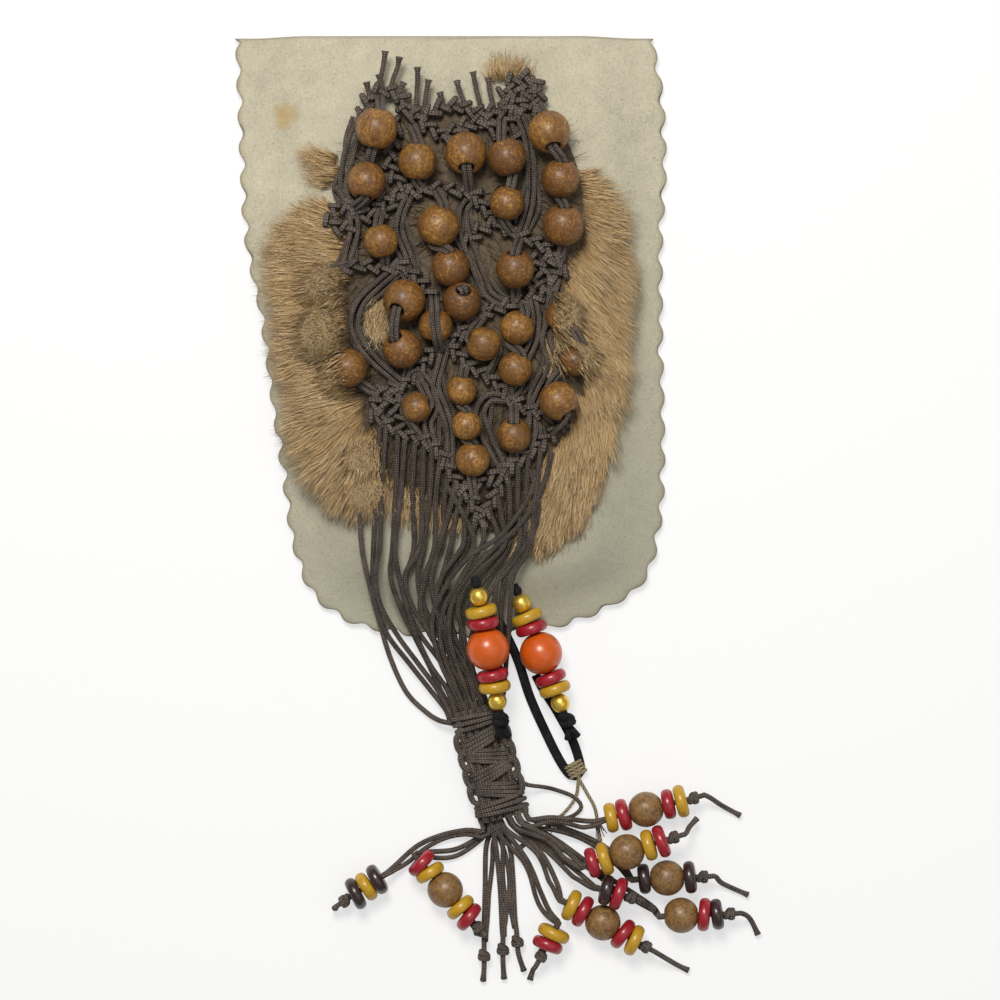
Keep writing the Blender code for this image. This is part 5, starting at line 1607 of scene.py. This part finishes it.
# Each bead: its radius, its length and, if it is round, the angle of its mouth and its rows.
dangleBeads = {"gold": (2.7, 5.0, 62, 13), "yellow": (4.6, 3.1), "red": (4.6, 3.1),
               "orange": (6.1, 11.6, 72, 19)}
dangleSizes = {"rim": 0.3, "gap": 0.3, "tilt": 0.05, "laceRadius": 1.0 * mm, "knotRadius": 2.5 * mm,
               "topKnotRadius": 1.5 * mm, "topKnot": 1.3 * mm, "footKnot": 2.4, "tip": 4.2,
               "tipRadius": 0.9 * mm, "flatness": 0.6}
danglePaint = {"gold": gold, "yellow": yellowPaint, "red": redPaint, "orange": orangePaint}


def makeDangles():
    shapes = {kind: Shape() for kind in danglePaint}
    nodes = {kind: [] for kind in danglePaint}
    tilt, gap = dangleSizes["tilt"], dangleSizes["gap"]
    for side, (first, last) in dangles.items():
        start, end = plan(*first), plan(*last)
        axis = (end - start).normalized()
        place = gap
        for number, kind in enumerate(dangleOrder, 1):
            radius, length, *mouth = dangleBeads[kind]
            if mouth:
                wobble = Vector()
                outline = roundOutline(radius * mm, length * mm, radians(mouth[0]), mouth[1])
            else:
                wobble = Vector((tilt * sin(number * 4), tilt * cos(number * 3), 0.8 * tilt))
                outline = discOutline(radius * mm, length * mm, dangleSizes["rim"])
            centre = start + axis * ((place + length / 2) * mm)
            addTurned(shapes[kind], centre, (axis + wobble).normalized(), outline, 0.021 * number,
                      sides=32)
            nodes[kind].append("dangle_" + side + "_" + str(number) + "_" + kind)
            place += length + gap
        makeDangleLace(side, start, axis, place)
    for kind, shape in shapes.items():
        settle(shape.make("dangle" + kind.capitalize(), danglePaint[kind]), kind, *nodes[kind])


def makeDangleLace(side, start, axis, place):
    sizes = dangleSizes
    shape = Shape()
    path = [start + axis * (along * mm) for along in np.arange(-3.0, place + 4.5, 1.2)]
    addCord(shape, path, sizes["laceRadius"], 10)
    made = shape.make("dangleLace_" + side, lace)
    settle(made, "lace", "dangle_lace_" + side)
    knots = Shape()
    addKnot(knots, start - axis * sizes["topKnot"], axis, sizes["topKnotRadius"])
    addKnot(knots, start + axis * ((place + sizes["footKnot"]) * mm), axis, sizes["knotRadius"])
    tip = start + axis * ((place + sizes["tip"]) * mm)
    for turn in (-0.5, 0.35):
        off = Matrix.Rotation(turn, 3, "Z") @ axis
        line = [tip, tip + off * (2.6 * mm), tip + off * (4.0 * mm) + Vector((0, 0, -0.8 * mm))]
        addCord(knots, smoothLine(line, 0.9 * mm), sizes["tipRadius"], flat=sizes["flatness"])
    ends = knots.make("dangleKnots_" + side, lace)
    settle(ends, "lace")
    declareCord(made, path[0], path, sizes["laceRadius"], "knot", with_pieces=[ends])


makeDangles()
print("dangles strung")


# Floor and world
floorLook = {"half": 3.0, "height": -0.3 * mm, "glow": 0.62,
             "plain": {"Base Color": (0.93, 0.93, 0.93, 1), "Roughness": 0.9,
                       "Specular IOR Level": 0.1}}


def makeFloor():
    mesh = bpy.data.meshes.new("paleFloor")
    half, height = floorLook["half"], floorLook["height"]
    corners = [(x * half, y * half, height) for x, y in ((-1, -1), (1, -1), (1, 1), (-1, 1))]
    mesh.from_pydata(corners, [], [(0, 1, 2, 3)])
    floor = stand("paleFloor", mesh)
    finish = Finish("paleFloor", floorLook["plain"])
    light = finish.node("ShaderNodeEmission", None, {"Color": (1, 1, 1, 1), "Strength": 1.0})
    seen = finish.node("ShaderNodeLightPath", output="Is Camera Ray")
    matt = Value(finish.tree, finish.shader.outputs[0])
    mixed = finish.node("ShaderNodeMixShader", None, {0: seen * floorLook["glow"], 1: matt, 2: light})
    output = finish.tree.nodes["Material Output"]
    finish.tree.links.new(mixed.socket, output.inputs["Surface"])
    mesh.materials.append(finish.material)


def makeWorld():
    world = bpy.data.worlds.new("softRoom")
    world.use_nodes = True
    tree = Tree(world.node_tree)
    ground = world.node_tree.nodes["Background"]
    ground.inputs["Color"].default_value = (1, 1, 1, 1)
    path = tree.node("ShaderNodeLightPath")
    shown = tree.other(path, "Is Camera Ray")
    strength = shown * (1 - worldStrength) + worldStrength
    world.node_tree.links.new(strength.socket, ground.inputs["Strength"])
    scene.world = world


makeFloor()
makeWorld()
print("floor and world set")
